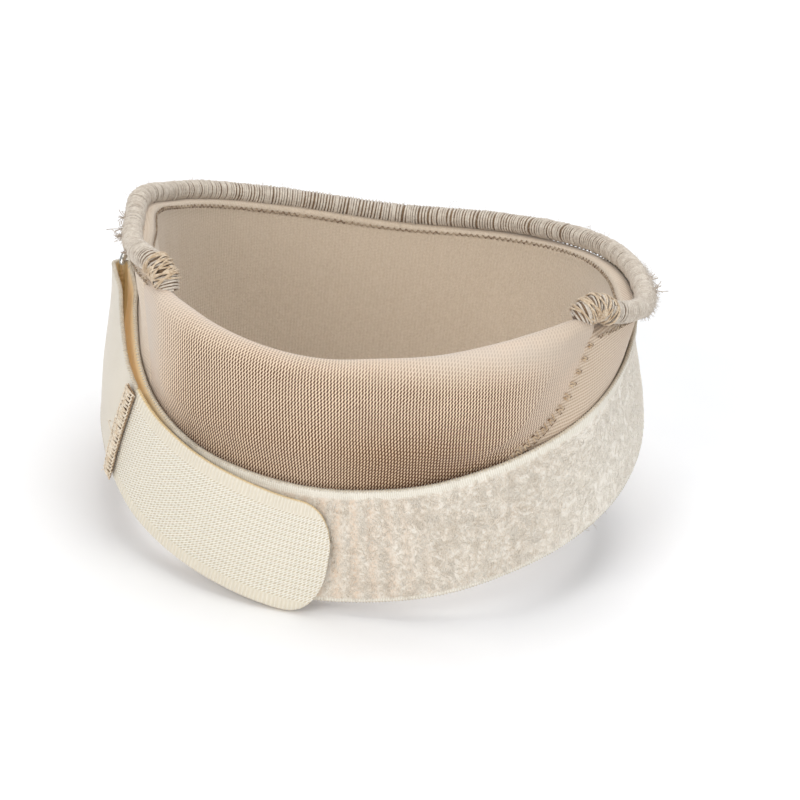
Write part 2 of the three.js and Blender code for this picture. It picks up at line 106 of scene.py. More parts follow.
def rimPoint(angle):
    turn = np.radians(angle)
    power = opening["roundness"]
    side = np.abs(np.sin(turn)) / (opening["width"] / 2)
    fore = np.abs(np.cos(turn)) / np.where(np.cos(turn) > 0, opening["front"], opening["back"])
    reach = (side ** power + fore ** power) ** (-1 / power)
    return np.stack([np.sin(turn) * reach, -np.cos(turn) * reach], -1)


def rimForward(angle):
    step = rimPoint(np.asarray(angle) + 0.5) - rimPoint(np.asarray(angle) - 0.5)
    return step / np.linalg.norm(step, axis=-1, keepdims=True)


def place(angle, out, z):
    angle, out, z = np.broadcast_arrays(*[np.asarray(value, float) for value in (angle, out, z)])
    point = rimPoint(angle)
    forward = rimForward(angle)
    turned = np.where(angle > 180, angle - 360, angle)
    middle = (along(strapLine, 1, turned) + along(waistLine, 2, turned)) * opening["height"]
    waist = opening["waist"] * along(waistLine, 1, turned) * np.exp(-((z - middle) / opening["waistReach"]) ** 2)
    reach = out + (z - opening["level"] * opening["height"]) * opening["taper"] - waist
    return np.stack([point[..., 0] + forward[..., 1] * reach, point[..., 1] - forward[..., 0] * reach, z], -1)


def reachPerDegree(angle, out):
    return np.linalg.norm(place(np.asarray(angle) + 0.5, out, 0) - place(np.asarray(angle) - 0.5, out, 0), axis=-1)


def rimSpot(points):  # from points back to angle, out and z
    angle = np.degrees(np.arctan2(points[:, 0], -points[:, 1]))
    for _ in range(6):
        miss = points[:, :2] - place(angle, opening["band"], points[:, 2])[:, :2]
        angle = angle + (miss * rimForward(angle)).sum(-1) / reachPerDegree(angle, opening["band"])
    outward = rimForward(angle)[:, ::-1] * (1, -1)
    out = ((points[:, :2] - place(angle, 0, points[:, 2])[:, :2]) * outward).sum(-1)
    return angle, out, points[:, 2]


roundAngles = np.linspace(-200, 360, 2241)
roundSteps = np.linalg.norm(np.diff(place(roundAngles, opening["band"], 45), axis=0), axis=-1)
roundLength = np.concatenate([[0], np.cumsum(roundSteps)])
roundLength = roundLength - np.interp(0, roundAngles, roundLength)


def reachAt(angle):  # millimetres round the band from its front
    return np.interp(angle, roundAngles, roundLength)


strapInner = opening["band"] + webbing["clear"]
wireRadius = webbing["wire"] / 2
ringOffset = strapInner + webbing["thick"] + webbing["clear"] + wireRadius
ringHeight = float(along(strapLine, 1, webbing["ringAngle"])) * opening["height"]
barReach = webbing["slot"] / 2 + wireRadius
ringPerDegree = float(reachPerDegree(webbing["ringAngle"], ringOffset))


def ringPoint(side, out, z):
    forward = rimForward(webbing["ringAngle"])
    slide = np.stack([forward[0] * side, forward[1] * side, 0 * np.asarray(side, float)], -1)
    return place(webbing["ringAngle"], out, z) + slide


def ringSpot(side):
    level = opening["level"] * opening["height"]
    point = ringPoint(np.array(side), ringOffset, level)
    angle = webbing["ringAngle"]
    for _ in range(8):
        miss = point - place(angle, ringOffset, level)
        angle += float((miss[:2] * rimForward(angle)).sum() / reachPerDegree(angle, ringOffset))
    return angle, ringOffset + float(np.linalg.norm(point - place(angle, ringOffset, level)))


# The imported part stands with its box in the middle, so the ring says how far all of it was moved.
ringLow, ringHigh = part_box("ring")
ringMiddle = (ringLow + ringHigh) * 500
shift = np.array([ringMiddle.x, ringMiddle.y, 0]) - ringPoint(np.array(0.0), ringOffset, ringHeight) * (1, 1, 0)


def toScene(points):
    return (np.asarray(points, float) + shift) * 0.001


class Link:  # a socket that sums can be written with
    def __init__(self, finish, socket):
        self.finish = finish
        self.socket = socket

    def sum(self, operation, *others):
        return self.finish.node("ShaderNodeMath", {"operation": operation}, dict(enumerate((self, *others))))

    def __add__(self, other):
        return self.sum("ADD", other)

    __radd__ = __add__

    def __mul__(self, other):
        return self.sum("MULTIPLY", other)

    __rmul__ = __mul__

    def __sub__(self, other):
        return self.sum("SUBTRACT", other)

    def __rsub__(self, other):
        return self.finish.node("ShaderNodeMath", {"operation": "SUBTRACT"}, {0: other, 1: self})

    def __truediv__(self, other):
        return self.sum("DIVIDE", other)

    def wave(self):  # 0 to 1, once for each whole number
        return (self * (2 * math.pi)).sum("COSINE") * 0.5 + 0.5

    def size(self):
        return self.sum("ABSOLUTE")

    def floor(self):
        return self.sum("FLOOR")

    def ease(self, low, high):
        return self.finish.node("ShaderNodeMapRange", {"interpolation_type": "SMOOTHSTEP"},
                                {0: self, 1: low, 2: high, 3: 0.0, 4: 1.0})


class Finish:  # one material and its nodes
    def __init__(self, name, fixed):
        self.material = bpy.data.materials.new(name)
        self.material.use_nodes = True
        self.tree = self.material.node_tree
        self.shader = self.tree.nodes["Principled BSDF"]
        for key, value in fixed.items():
            self.shader.inputs[key].default_value = value

    def node(self, kind, settings=None, inputs=None, output=0):
        made = self.tree.nodes.new(kind)
        for key, value in (settings or {}).items():
            setattr(made, key, value)
        for key, value in (inputs or {}).items():
            if isinstance(value, Link):
                self.tree.links.new(value.socket, made.inputs[key])
            else:
                made.inputs[key].default_value = value
        return Link(self, made.outputs[output])

    def split(self, vector):
        return [self.node("ShaderNodeSeparateXYZ", None, {0: vector}, axis) for axis in range(3)]

    def cloth(self):  # millimetres along and across the piece, and through it
        return self.split(self.node("ShaderNodeAttribute", {"attribute_name": "cloth"}, None, 1))

    def spot(self):  # object coordinates in millimetres
        where = self.node("ShaderNodeTexCoord", None, None, "Object")
        return self.node("ShaderNodeVectorMath", {"operation": "SCALE"}, {0: where, "Scale": 1000.0})

    def point(self, x, y, z):
        return self.node("ShaderNodeCombineXYZ", None, {0: x, 1: y, 2: z})

    def noise(self, where, scale, detail=2.0):
        return self.node("ShaderNodeTexNoise", None, {"Vector": where, "Scale": scale, "Detail": detail})

    def mix(self, share, first, second):
        first, second = [color if isinstance(color, Link) else shade(color) for color in (first, second)]
        return self.node("ShaderNodeMix", {"data_type": "RGBA"}, {0: share, 6: first, 7: second}, 2)

    def bump(self, height, depth):  # depth in millimetres
        return self.node("ShaderNodeBump", None, {"Height": height, "Distance": depth * 0.001, "Strength": 1.0})

    def feed(self, links):
        for key, value in links.items():
            self.tree.links.new(value.socket, self.shader.inputs[key])
        return self.material


def shade(color):  # red, green and blue from 0 to 255, as a screen shows them
    shares = [value / 255 for value in color]
    linear = [share / 12.92 if share <= 0.04045 else ((share + 0.055) / 1.055) ** 2.4 for share in shares]
    return *linear, 1.0


view = {"target": (0, 0, 25.5), "distance": 900, "elevation": 28, "roll": 6, "lens": 168.1, "sensor": 36,
        "shift": 27.5 / 800}


def addCamera():
    tilt, roll = math.radians(view["elevation"]), math.radians(view["roll"])
    ahead = Vector((0, math.cos(tilt), -math.sin(tilt)))
    right = Vector((math.cos(roll), math.sin(roll) * math.sin(tilt), math.sin(roll) * math.cos(tilt)))
    above = Vector((-math.sin(roll), math.cos(roll) * math.sin(tilt), math.cos(roll) * math.cos(tilt)))
    camera = bpy.data.objects.new("camera", bpy.data.cameras.new("camera"))
    camera.data.lens = view["lens"]
    camera.data.sensor_width = view["sensor"]
    camera.data.shift_x = view["shift"]
    camera.data.clip_start = 0.05
    camera.matrix_world = Matrix((right, above, -ahead)).transposed().to_4x4()
    camera.location = Vector(toScene(view["target"])) - ahead * view["distance"] * 0.001
    bpy.context.scene.collection.objects.link(camera)
    bpy.context.scene.camera = camera
    print("camera")


studio = {"sky": (0.95, 0.97, 1.0, 1.0), "skyStrength": 0.5, "aim": (0, 0, 0.03), "floor": 4,
          "paper": ((246, 246, 247), (250, 250, 250))}
lights = {  # place in metres, size, watts, colour
    "key": ((-0.5, -0.8, 0.6), 0.5, 4.9, (1.0, 0.99, 0.975)),
    "fill": ((0.8, -0.6, 0.35), 0.7, 2.9, (0.96, 0.98, 1.0)),
    "top": ((0.05, 0.1, 1.0), 0.7, 4.6, (1.0, 1.0, 1.0)),
    "behind": ((0.2, 0.9, 0.5), 0.7, 2.2, (0.95, 0.97, 1.0)),
}


def addLights():
    for name, (where, size, watts, color) in lights.items():
        lamp = bpy.data.objects.new(name + "_light", bpy.data.lights.new(name + "_light", "AREA"))
        lamp.data.size = size
        lamp.data.energy = watts
        lamp.data.color = color
        lamp.location = where
        lamp.rotation_euler = (Vector(studio["aim"]) - Vector(where)).to_track_quat("-Z", "Y").to_euler()
        bpy.context.scene.collection.objects.link(lamp)
    world = bpy.data.worlds.new("studio")
    world.use_nodes = True
    world.node_tree.nodes["Background"].inputs[0].default_value = studio["sky"]
    world.node_tree.nodes["Background"].inputs[1].default_value = studio["skyStrength"]
    bpy.context.scene.world = world
    bpy.context.scene.view_settings.view_transform = "Standard"
    print("lights", len(lights))


def addFloor():
    bm = bmesh.new()
    bmesh.ops.create_grid(bm, x_segments=1, y_segments=1, size=studio["floor"])
    mesh = bpy.data.meshes.new("floor")
    bm.to_mesh(mesh)
    bm.free()
    floor = bpy.data.objects.new("floor", mesh)
    bpy.context.scene.collection.objects.link(floor)
    finish = Finish("paper", {"Roughness": 0.8})
    grain = finish.noise(finish.spot(), 0.05, 1.0)
    mesh.materials.append(finish.feed({"Base Color": finish.mix(grain, *studio["paper"])}))


def finishPiece(name, mesh, material, replaced=()):
    mesh.name = name
    mesh.materials.clear()
    mesh.materials.append(material)
    mesh.shade_smooth()
    piece = bpy.data.objects.new(name, mesh)
    bpy.context.scene.collection.objects.link(piece)
    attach(piece, "root")
    if replaced:
        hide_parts(*replaced)
    return piece


def bentGrid(points, cloth, closed=False):
    # a grid is bent so that its rows go along the piece and its columns round the section
    points = toScene(points)
    rows, around = points.shape[:2]
    spans = rows if closed else rows - 1
    bm = bmesh.new()
    layer = bm.verts.layers.float_vector.new("cloth")
    bmesh.ops.create_grid(bm, x_segments=spans, y_segments=around, size=1)
    reach = max(vert.co.x for vert in bm.verts)
    for vert in bm.verts:
        i = round((vert.co.x / reach + 1) / 2 * spans) % rows
        j = round((vert.co.y / reach + 1) / 2 * around) % around
        vert.co = points[i, j]
        vert[layer] = cloth[i, j]
    bmesh.ops.remove_doubles(bm, verts=bm.verts, dist=1e-7)
    bmesh.ops.holes_fill(bm, edges=[edge for edge in bm.edges if edge.is_boundary])
    bmesh.ops.recalc_face_normals(bm, faces=bm.faces)
    mesh = bpy.data.meshes.new("piece")
    bm.to_mesh(mesh)
    bm.free()
    return mesh


def threads(runs, radius, sides=1, closed=False, capped=True):
    # each run is a row of points, or of points and a share of the radius
    curve = bpy.data.curves.new("thread", "CURVE")
    curve.dimensions = "3D"
    curve.bevel_depth = radius * 0.001
    curve.bevel_resolution = sides
    curve.use_fill_caps = capped
    for run in runs:
        run = np.asarray(run, float)
        spline = curve.splines.new("POLY")
        spline.points.add(len(run) - 1)
        rows = np.ones((len(run), 4))
        rows[:, :3] = toScene(run[:, :3])
        spline.points.foreach_set("co", rows.ravel())
        if run.shape[1] > 3:
            spline.points.foreach_set("radius", run[:, 3].copy())
        spline.use_cyclic_u = closed
    holder = bpy.data.objects.new("thread", curve)
    bpy.context.scene.collection.objects.link(holder)
    mesh = bpy.data.meshes.new_from_object(holder.evaluated_get(bpy.context.evaluated_depsgraph_get()))
    bpy.data.objects.remove(holder)
    bpy.data.curves.remove(curve)
    return mesh


foam = {"pressure": 4, "frames": 20}


def puff(piece, cap, sewn):
    # cloth under pressure, sewn points held, each point's travel capped in millimetres
    mesh = piece.data
    rest = np.zeros(len(mesh.vertices) * 3)
    mesh.vertices.foreach_get("co", rest)
    group = piece.vertex_groups.new(name="sewn")
    group.add([int(i) for i in np.flatnonzero(sewn)], 1.0, "REPLACE")
    cloth = piece.modifiers.new("cloth", "CLOTH")
    cloth.settings.vertex_group_mass = "sewn"
    cloth.settings.effector_weights.gravity = 0
    cloth.settings.use_pressure = True
    cloth.settings.uniform_pressure_force = foam["pressure"]
    cloth.collision_settings.use_collision = False
    cloth.point_cache.frame_end = foam["frames"]
    for step in range(1, foam["frames"] + 1):
        bpy.context.scene.frame_set(step)
    swollen = piece.evaluated_get(bpy.context.evaluated_depsgraph_get()).to_mesh()
    moved = np.zeros(len(rest))
    swollen.vertices.foreach_get("co", moved)
    piece.evaluated_get(bpy.context.evaluated_depsgraph_get()).to_mesh_clear()
    piece.modifiers.remove(cloth)
    bpy.context.scene.frame_set(1)
    travel = (moved - rest).reshape(-1, 3)
    length = np.linalg.norm(travel, axis=1, keepdims=True)
    travel *= np.minimum(1, cap * 0.001 / np.maximum(length, 1e-9))
    mesh.vertices.foreach_set("co", rest + travel.ravel())
    piece.vertex_groups.clear()
    print("puffed", piece.name, "most", round(float(length.max()) * 1000, 2), "mm")


def vertexArray(mesh):
    flat = np.zeros(len(mesh.vertices) * 3)
    mesh.vertices.foreach_get("co", flat)
    return flat.reshape(-1, 3) * 1000 - shift


def setVertexArray(mesh, points):
    mesh.vertices.foreach_set("co", toScene(points).ravel())
    mesh.update()


def refined(piece, levels=1):
    finer = piece.modifiers.new("finer", "SUBSURF")
    finer.levels = levels
    finer.render_levels = levels


def wobble(count, pitch, seed):  # smooth seeded noise, about -1 to 1
    random = np.random.default_rng(seed)
    knots = random.uniform(-1, 1, int(count / pitch) + 4)
    at = np.arange(count) / pitch + 1
    i = at.astype(int)
    t = at - i
    t = t * t * (3 - 2 * t)
    return knots[i] * (1 - t) + knots[i + 1] * t


cushion = {"crown": 1.7, "depth": 5, "edge": 5.5, "wale": 0.7, "course": 0.93, "puff": 0.9, "slim": 0.35,
           "sewn": 0.8, "underStrap": 0.12, "pucker": 0.16, "puckerPitch": 3.2, "puckerReach": 3.2,
           "knitDepth": 0.17,
           "closedKnit": (208, 193, 177), "openKnit": (240, 215, 187), "strapShadeKnit": (212, 179, 142),
           "rightKnit": (194, 176, 156), "softKnit": (222, 196, 172), "hole": (88, 52, 24),
           "lining": ((206, 188, 168), (190, 170, 150))}


def seamAngle(side, z):
    return along(seams, 1 if side == "left" else 2, np.asarray(z, float) / opening["height"])


def cushionSection(share):
    tall = opening["height"]
    middle = mixed(seamAngle("left", tall / 2), seamAngle("right", tall / 2), share)
    top = float(along(padTop, 1, mixed(seamAngle("left", tall), seamAngle("right", tall), share))) * tall
    bottom = float(along(padBottom, 1, mixed(seamAngle("left", 0), seamAngle("right", 0), share))) * tall
    strapTop = float(along(strapLine, 1, middle)) * tall + webbing["width"] / 2
    fromEnd = min(share, 1 - share)
    full = float(ease(0, 0.16, fromEnd))
    radius = mixed(opening["band"] / 2, cushion["edge"], full)
    slim = cushion["slim"] * float(ease(0, 0.05, fromEnd))

    def sides(z):
        crown = ease(strapTop + 1, strapTop + 10, z) * cushion["crown"] * ease(0, 0.1, fromEnd)
        swell = np.sin(np.pi * ease(bottom - 14, top + 8, z)) ** 0.6
        return opening["band"] + crown - slim, -cushion["depth"] * full * swell + slim

    body = np.linspace(bottom + radius, top - radius, 40)
    arc = np.radians(np.linspace(0, 180, 14)[1:-1])

    def rounded(edge, turn, sign):
        outer, inner = sides(edge)
        return (outer + inner) / 2 + (outer - inner) / 2 * np.cos(turn), edge + sign * (radius - slim) * np.sin(turn)

    outs, levels = zip((sides(body)[0], body), rounded(top - radius, arc, 1),
                       (sides(body[::-1])[1], body[::-1]), rounded(bottom + radius, arc[::-1], -1))
    out, z = np.concatenate([np.broadcast_to(o, l.shape) for o, l in zip(outs, levels)]), np.concatenate(levels)
    angle = mixed(seamAngle("left", z), seamAngle("right", z), share)
    run = np.concatenate([[0], np.cumsum(np.hypot(np.diff(out), np.diff(z)))]) + z[0]
    return place(angle, out, z), np.stack([reachAt(angle), run, out], -1)


def knit(sideways, upward, wale, course):
    # light cords, each one a row of slanted loops
    column = sideways / wale
    return column.wave() * 0.52 + (column - upward / course).wave() * 0.48


def cushionFinish():
    finish = Finish("cushion_knit", {"Roughness": 0.85, "Sheen Weight": 0.25, "Sheen Roughness": 0.5,
                                     "Specular IOR Level": 0.2})
    u, v, w = finish.cloth()
    where = finish.point(u, v, w)
    soft = finish.noise(where, 0.09, 3.0)
    fleck = finish.noise(where, 1.9, 2.0)
    drift = (finish.noise(where, 0.05, 1.0) - 0.5) * 1.2
    cord = knit(u + v * 0.08 + drift, v + u * 0.04 + (soft - 0.5) * 2.0, cushion["wale"], cushion["course"])
    # the knit is open where the foam stretches it, closed towards both seams and over the top
    opened = (1 - (u + 6).size().ease(35, 57)) * (1 - v.ease(60, 72))
    # painted shade: the knit is darker, with more dark holes, along the strap's top edge under the swell of the
    # cushion
    low = (1 - v.ease(34, 60)) * (v.ease(28, 46) * 0.6 + 0.4) * opened
    low = low * (1 - u.ease(14, 40) * 0.7) * ((u + 14).ease(0, 20) * 0.5 + 0.5)
    light = finish.mix(opened, cushion["closedKnit"], cushion["openKnit"])
    light = finish.mix(low, light, cushion["strapShadeKnit"])
    light = finish.mix(u.ease(26, 50) * 0.8, light, cushion["rightKnit"])
    light = finish.mix(soft.ease(0.4, 0.7) * 0.35, light, cushion["softKnit"])
    hole = 0.9 - cord + opened * 0.1 + low * (0.12 + u.ease(-10, 20) * 0.08) + (fleck - 0.5) * 0.25
    base = finish.mix(hole.ease(0.35, 0.66) * (opened * 0.8 + 0.2), light, cushion["hole"])
    base = finish.mix(1 - w.ease(-3.5, -0.5), base, finish.mix(fleck, *cushion["lining"]))
    bump = finish.bump(cord * (opened * 0.8 + 0.4) + fleck * 0.2, cushion["knitDepth"])
    return finish.feed({"Base Color": base, "Normal": bump})


def pucker(cloth, edge, z):  # small hollows where the zigzag pulls the seam in
    wave = 0.5 + 0.5 * np.cos(z * 2 * np.pi / cloth["puckerPitch"])
    return np.exp(-(edge / cloth["puckerReach"]) ** 2) * wave * cloth["pucker"]


def makeCushion():
    shares = np.concatenate([[0, .008, .018, .03, .045, .065], np.linspace(0.085, 0.915, 74),
                             [.935, .955, .97, .982, .992, 1]])
    sections = [cushionSection(share) for share in shares]
    mesh = bentGrid(np.array([s[0] for s in sections]), np.array([s[1] for s in sections]))
    piece = finishPiece("cushion", mesh, cushionFinish(), ["front_pad"])
    angle, out, z = rimSpot(vertexArray(mesh))
    edge = np.minimum(angle - seamAngle("left", z), seamAngle("right", z) - angle) * opening["perDegree"]
    puff(piece, cushion["puff"], edge < cushion["sewn"])
    angle, out, z = rimSpot(vertexArray(mesh))
    strapMiddle = along(strapLine, 1, angle) * opening["height"]
    clear = np.maximum(np.abs(z - strapMiddle) - webbing["width"] / 2, 0)
    under = opening["band"] + cushion["underStrap"] + 0.16 * clear ** 2
    out = np.minimum(out, np.where(out > 0, under, 99))
    out = np.where(out > 2, out - pucker(cushion, edge, z), out)
    setVertexArray(mesh, place(angle, out, np.maximum(z, 0.6)))
    refined(piece)
    print("cushion", len(mesh.vertices))


wing = {"wale": 0.66, "course": 0.87, "puff": 0.5, "roll": 5.0, "knob": 6.0, "rows": 34, "endGap": -1.2,
        "lap": 0.9, "bulge": 0.45, "sewn": 0.8, "pucker": 0.14, "puckerPitch": 3.2, "puckerReach": 3.0,
        "knitDepth": 0.15,
        "knit": ((223, 205, 183), (211, 192, 169)), "rowColor": (146, 114, 84), "fleckColor": (232, 220, 206),
        "lining": ((198, 180, 158), (218, 203, 184))}


def bandSection(share):
    tall, thick, roll = opening["height"], opening["band"], wing["roll"]
    gap = wing["endGap"]

    def angleAt(z):
        return mixed(seamAngle("right", z) + gap, seamAngle("left", z) + 360 - gap, share)

    top = float(along(bandTop, 1, angleAt(tall))) * tall - roll + wing["lap"]
    bottom = max(float(along(bandBottom, 1, angleAt(0))) * tall, 0) + roll - wing["lap"]
    edge = thick * 0.3
    body = np.linspace(bottom + edge, top - edge, wing["rows"])
    arc = np.radians([22, 45, 68])
    half = thick / 2
    rim = edge * (1 - np.cos(arc[::-1]))
    out = np.concatenate([np.full(len(body), thick), thick - rim[::-1], [half], rim,
                          np.zeros(len(body)), rim[::-1], [half], thick - rim])
    lift = edge * np.sin(arc)
    z = np.concatenate([body, top - edge + lift, [top], (top - edge + lift)[::-1], body[::-1],
                        bottom + edge - lift, [bottom], (bottom + edge - lift)[::-1]])
    angle = angleAt(z)
    bulge = np.sin(np.pi * np.clip((z - bottom) / (top - bottom), 0, 1)) * wing["bulge"]
    fromEnd = min(share, 1 - share) * 262  # degrees
    bulge = bulge * float(ease(1, 9, fromEnd))
    out = out + np.where(out > 1, bulge, -bulge * 0.5)
    run = np.concatenate([[0], np.cumsum(np.hypot(np.diff(out), np.diff(z)))]) + z[0]
    return place(angle, out, z), np.stack([reachAt(angle), run, out], -1)


def bandFinish():
    finish = Finish("band_knit", {"Roughness": 0.9, "Sheen Weight": 0.3, "Sheen Roughness": 0.5,
                                  "Specular IOR Level": 0.2})
    u, v, w = finish.cloth()
    where = finish.point(u, v, w)
    soft = finish.noise(where, 0.08, 3.0)
    fleck = finish.noise(where, 2.3, 2.0)
    cord = knit(u + v * 0.3, v - u * 0.16, wing["wale"], wing["course"])
    light = finish.mix(soft, *wing["knit"])
    rows = ((v - u * 0.16 + (soft - 0.5) * 1.5) / wing["course"]).wave()
    side = u.ease(20, 40) * (1 - u.ease(90, 120))  # the open knit of the wing on the right
    base = finish.mix((rows * 0.48 + (1 - cord) * 0.2) * (side * 0.75 + 0.25), light, wing["rowColor"])
    base = finish.mix((fleck - 0.5).size() * 0.7, base, wing["fleckColor"])
    terry = finish.noise(where, 1.9, 2.0)
    loop = (u / 0.9).wave() * (v / 0.8 + (u / 0.9).floor() * 0.5).wave()
    lining = finish.mix(terry.ease(0.3, 0.7) * 0.5 + loop * 0.4, *wing["lining"])
    inner = 1 - w.ease(0.6, 1.4)
    base = finish.mix(inner, base, lining)
    height = (cord * 0.4 - rows * 0.5 + fleck * 0.35) * (1 - inner) + (terry * 0.7 + loop * 0.8) * inner
    return finish.feed({"Base Color": base, "Normal": finish.bump(height, wing["knitDepth"])})


def makeBand():
    shares = np.concatenate([[0, .002, .005, .01], np.linspace(0.016, 0.984, 190), [.99, .995, .998, 1]])
    sections = [bandSection(share) for share in shares]
    mesh = bentGrid(np.array([s[0] for s in sections]), np.array([s[1] for s in sections]))
    piece = finishPiece("side_and_back_band", mesh, bandFinish(), ["band"])
    angle, out, z = rimSpot(vertexArray(mesh))
    turned = np.where(angle < 0, angle + 360, angle)
    edge = np.minimum(turned - seamAngle("right", z), seamAngle("left", z) + 360 - turned) * opening["perDegree"]
    top = along(bandTop, 1, turned) * opening["height"] - wing["roll"]
    bottom = np.maximum(along(bandBottom, 1, turned) * opening["height"], 0) + wing["roll"]
    sewn = wing["sewn"]
    puff(piece, wing["puff"], (edge < sewn) | (z > top - sewn) | (z < bottom + sewn))
    angle, out, z = rimSpot(vertexArray(mesh))
    out = np.minimum(out, opening["band"] + wing["bulge"] * ease(1, 9, edge))
    out = np.where(out > 2, out - pucker(wing, edge, z), out)
    setVertexArray(mesh, place(angle, out, z))
    print("band", len(mesh.vertices))


serging = {"topRun": (46, 307.2), "bottomRun": (34.8, 306), "coreSides": 16, "thread": 0.26, "pitch": 0.74,
           "turnSteps": 14, "knobThread": 0.22, "knobLoops": 30, "chain": 0.17, "chainPitch": 1.5,
           "chainWidth": 0.42, "hair": 0.035, "loose": 0.085,
           "winding": ((228, 219, 205), (196, 182, 166)), "core": ((140, 116, 90), (104, 82, 60)),
           "knobColors": ((228, 211, 186), (182, 154, 120)), "chainToneAndShade": ((206, 186, 158), (112, 84, 58)),
           "hairColors": ((228, 220, 208), (190, 174, 158)), "looseColors": ((216, 204, 188), (160, 140, 122))}


def rollPath(which, count=1600):
    radius = wing["roll"] / 2
    if which == "top":
        angle = np.linspace(*serging["topRun"], count)
        out = opening["band"] + along(rollLine, 1, angle) * radius
        rise = along(rollLine, 2, angle) * radius
        size = mixed(wing["roll"], wing["knob"], along(rollLine, 3, angle)) / 2
        return angle, place(angle, out, along(bandTop, 1, angle) * opening["height"] - radius + rise), size
    angle = np.linspace(*serging["bottomRun"], count)
    z = along(bandBottom, 1, angle) * opening["height"] + radius
    return angle, place(angle, opening["band"] / 2, z), np.full(count, radius)


def pathFrame(path):
    forward = np.gradient(path, axis=0)
    forward /= np.linalg.norm(forward, axis=1, keepdims=True)
    across = np.cross((0, 0, 1.0), forward)
    across /= np.linalg.norm(across, axis=1, keepdims=True)
    return forward, across, np.cross(forward, across)


def runOf(path):  # millimetres along a row of points
    return np.concatenate([[0], np.cumsum(np.linalg.norm(np.diff(path, axis=0), axis=1))])


def resample(values, lengths, at):
    return np.stack([np.interp(at, lengths, values[:, k]) for k in range(values.shape[1])], -1)


def rollThreads(which, seed):
    path, size = rollPath(which)[1:]
    lengths = runOf(path)
    steps = int(lengths[-1] / serging["pitch"]) * serging["turnSteps"]
    random = np.random.default_rng(seed)
    turn = np.arange(steps) * 2 * np.pi / serging["turnSteps"]
    at = np.linspace(0, lengths[-1], steps)
    at = at + wobble(steps, 40, seed) * 0.4 + wobble(steps, 11, seed + 1) * 0.14
    tilt = 0.35 + 0.3 * wobble(steps, 260, seed + 2)
    at = np.clip(at + tilt * np.sin(turn + 0.6) * 0.8, 0, lengths[-1])
    spot = resample(path, lengths, at)
    across, above = pathFrame(resample(path, lengths, np.linspace(0, lengths[-1], steps)))[1:]
    radius = np.interp(at, lengths, size) - serging["thread"]
    radius = radius * (1 + 0.035 * wobble(steps, 90, seed + 3)) + 0.1 * wobble(steps, 15, seed + 4)
    loose = random.random(steps // serging["turnSteps"] + 1) < 0.07  # a few turns stand out
    radius = radius + 0.22 * loose[np.arange(steps) // serging["turnSteps"]] * np.sin(turn / 2) ** 2
    points = spot + across * (radius * np.sin(turn))[:, None] + above * (radius * np.cos(turn))[:, None]
    points[:, 2] = np.maximum(points[:, 2], serging["thread"])
    thick = 1 + 0.16 * wobble(steps, 9, seed + 5)
    return np.column_stack([points, thick])


def threadFinish(name, colors):
    finish = Finish(name, {"Roughness": 0.8, "Sheen Weight": 0.3, "Specular IOR Level": 0.3})
    light, dark = colors
    where = finish.spot()
    patch = finish.noise(where, 0.7, 2.0)
    fleck = finish.noise(where, 2.7, 2.0)
    base = finish.mix((patch * 0.6 + fleck * 0.5).ease(0.35, 0.8), dark, light)
    return finish.feed({"Base Color": base, "Normal": finish.bump(finish.noise(where, 9.0, 1.0), 0.12)})


def knobLoops(path, size, seed):
    # coarse slanting loops thrown over both ends of the roll
    random = np.random.default_rng(seed)
    forward, across, above = pathFrame(path)
    runs = []
    for spots in (np.arange(1, 13), np.arange(len(path) - 9, len(path) - 2)):
        for _ in range(serging["knobLoops"]):
            i = int(random.choice(spots))
            turn = (np.linspace(0, random.uniform(3.6, 6.4), 22) + random.uniform(0, 6.28))[:, None]
            reach = size[i] + 0.08 + 0.45 * random.random() * np.sin(turn * 1.5) ** 2
            slant = random.uniform(-1.3, 1.3) * np.sin(turn + 0.8)
            runs.append(path[i] + (across[i] * np.sin(turn) + above[i] * np.cos(turn)) * reach + forward[i] * slant)
    return runs


def makeRolls():
    thread = threadFinish("serging_thread", serging["winding"])
    # painted shade: the core under the thread turns is dark brown, for the shade in the gaps between the turns
    inside = threadFinish("serging_core", serging["core"])
    for which, node, seed in (("top", "edge_roll_top", 11), ("bottom", "edge_roll_bottom", 31)):
        path, size = rollPath(which, 420)[1:]
        across, above = pathFrame(path)[1:]
        turn = np.linspace(0, 2 * np.pi, serging["coreSides"], endpoint=False)
        radius = size - serging["thread"] * 1.05
        radius[[0, -1]] *= 0.75
        ring = radius[:, None, None] * (across[:, None, :] * np.sin(turn)[None, :, None]
                                       + above[:, None, :] * np.cos(turn)[None, :, None])
        points = path[:, None, :] + ring
        points[..., 2] = np.maximum(points[..., 2], 0.05)
        finishPiece(node + "_core", bentGrid(points, points), inside)
        mesh = threads([rollThreads(which, seed)], serging["thread"])
        finishPiece(node + "_thread", mesh, thread, [node])
        if which == "top":
            coarse = threadFinish("knob_thread", serging["knobColors"])
            loose = threads(knobLoops(path, size, 91), serging["knobThread"])
            finishPiece("knob_loops", loose, coarse)
        print(node, len(mesh.vertices))


def chainRun(spots, side, outward, pitch, width, seed):
    # interlaced loops lying on a surface, as one wandering thread
    lengths = runOf(spots)
    steps = int(lengths[-1] / pitch) * 9
    phase = np.arange(steps) * 2 * np.pi / 9
    at = np.linspace(0, lengths[-1], steps)
    at = np.clip(at + pitch * 0.55 * np.sin(2 * phase) * 0.5, 0, lengths[-1])
    middle = resample(spots, lengths, at)
    sideways = resample(side, lengths, at)
    up = resample(outward, lengths, at)
    sway = width * (1 + 0.2 * wobble(steps, 30, seed))
    lift = 0.12 + 0.12 * np.cos(2 * phase + 0.8)
    return middle + sideways * (sway * np.sin(phase))[:, None] + up * lift[:, None]


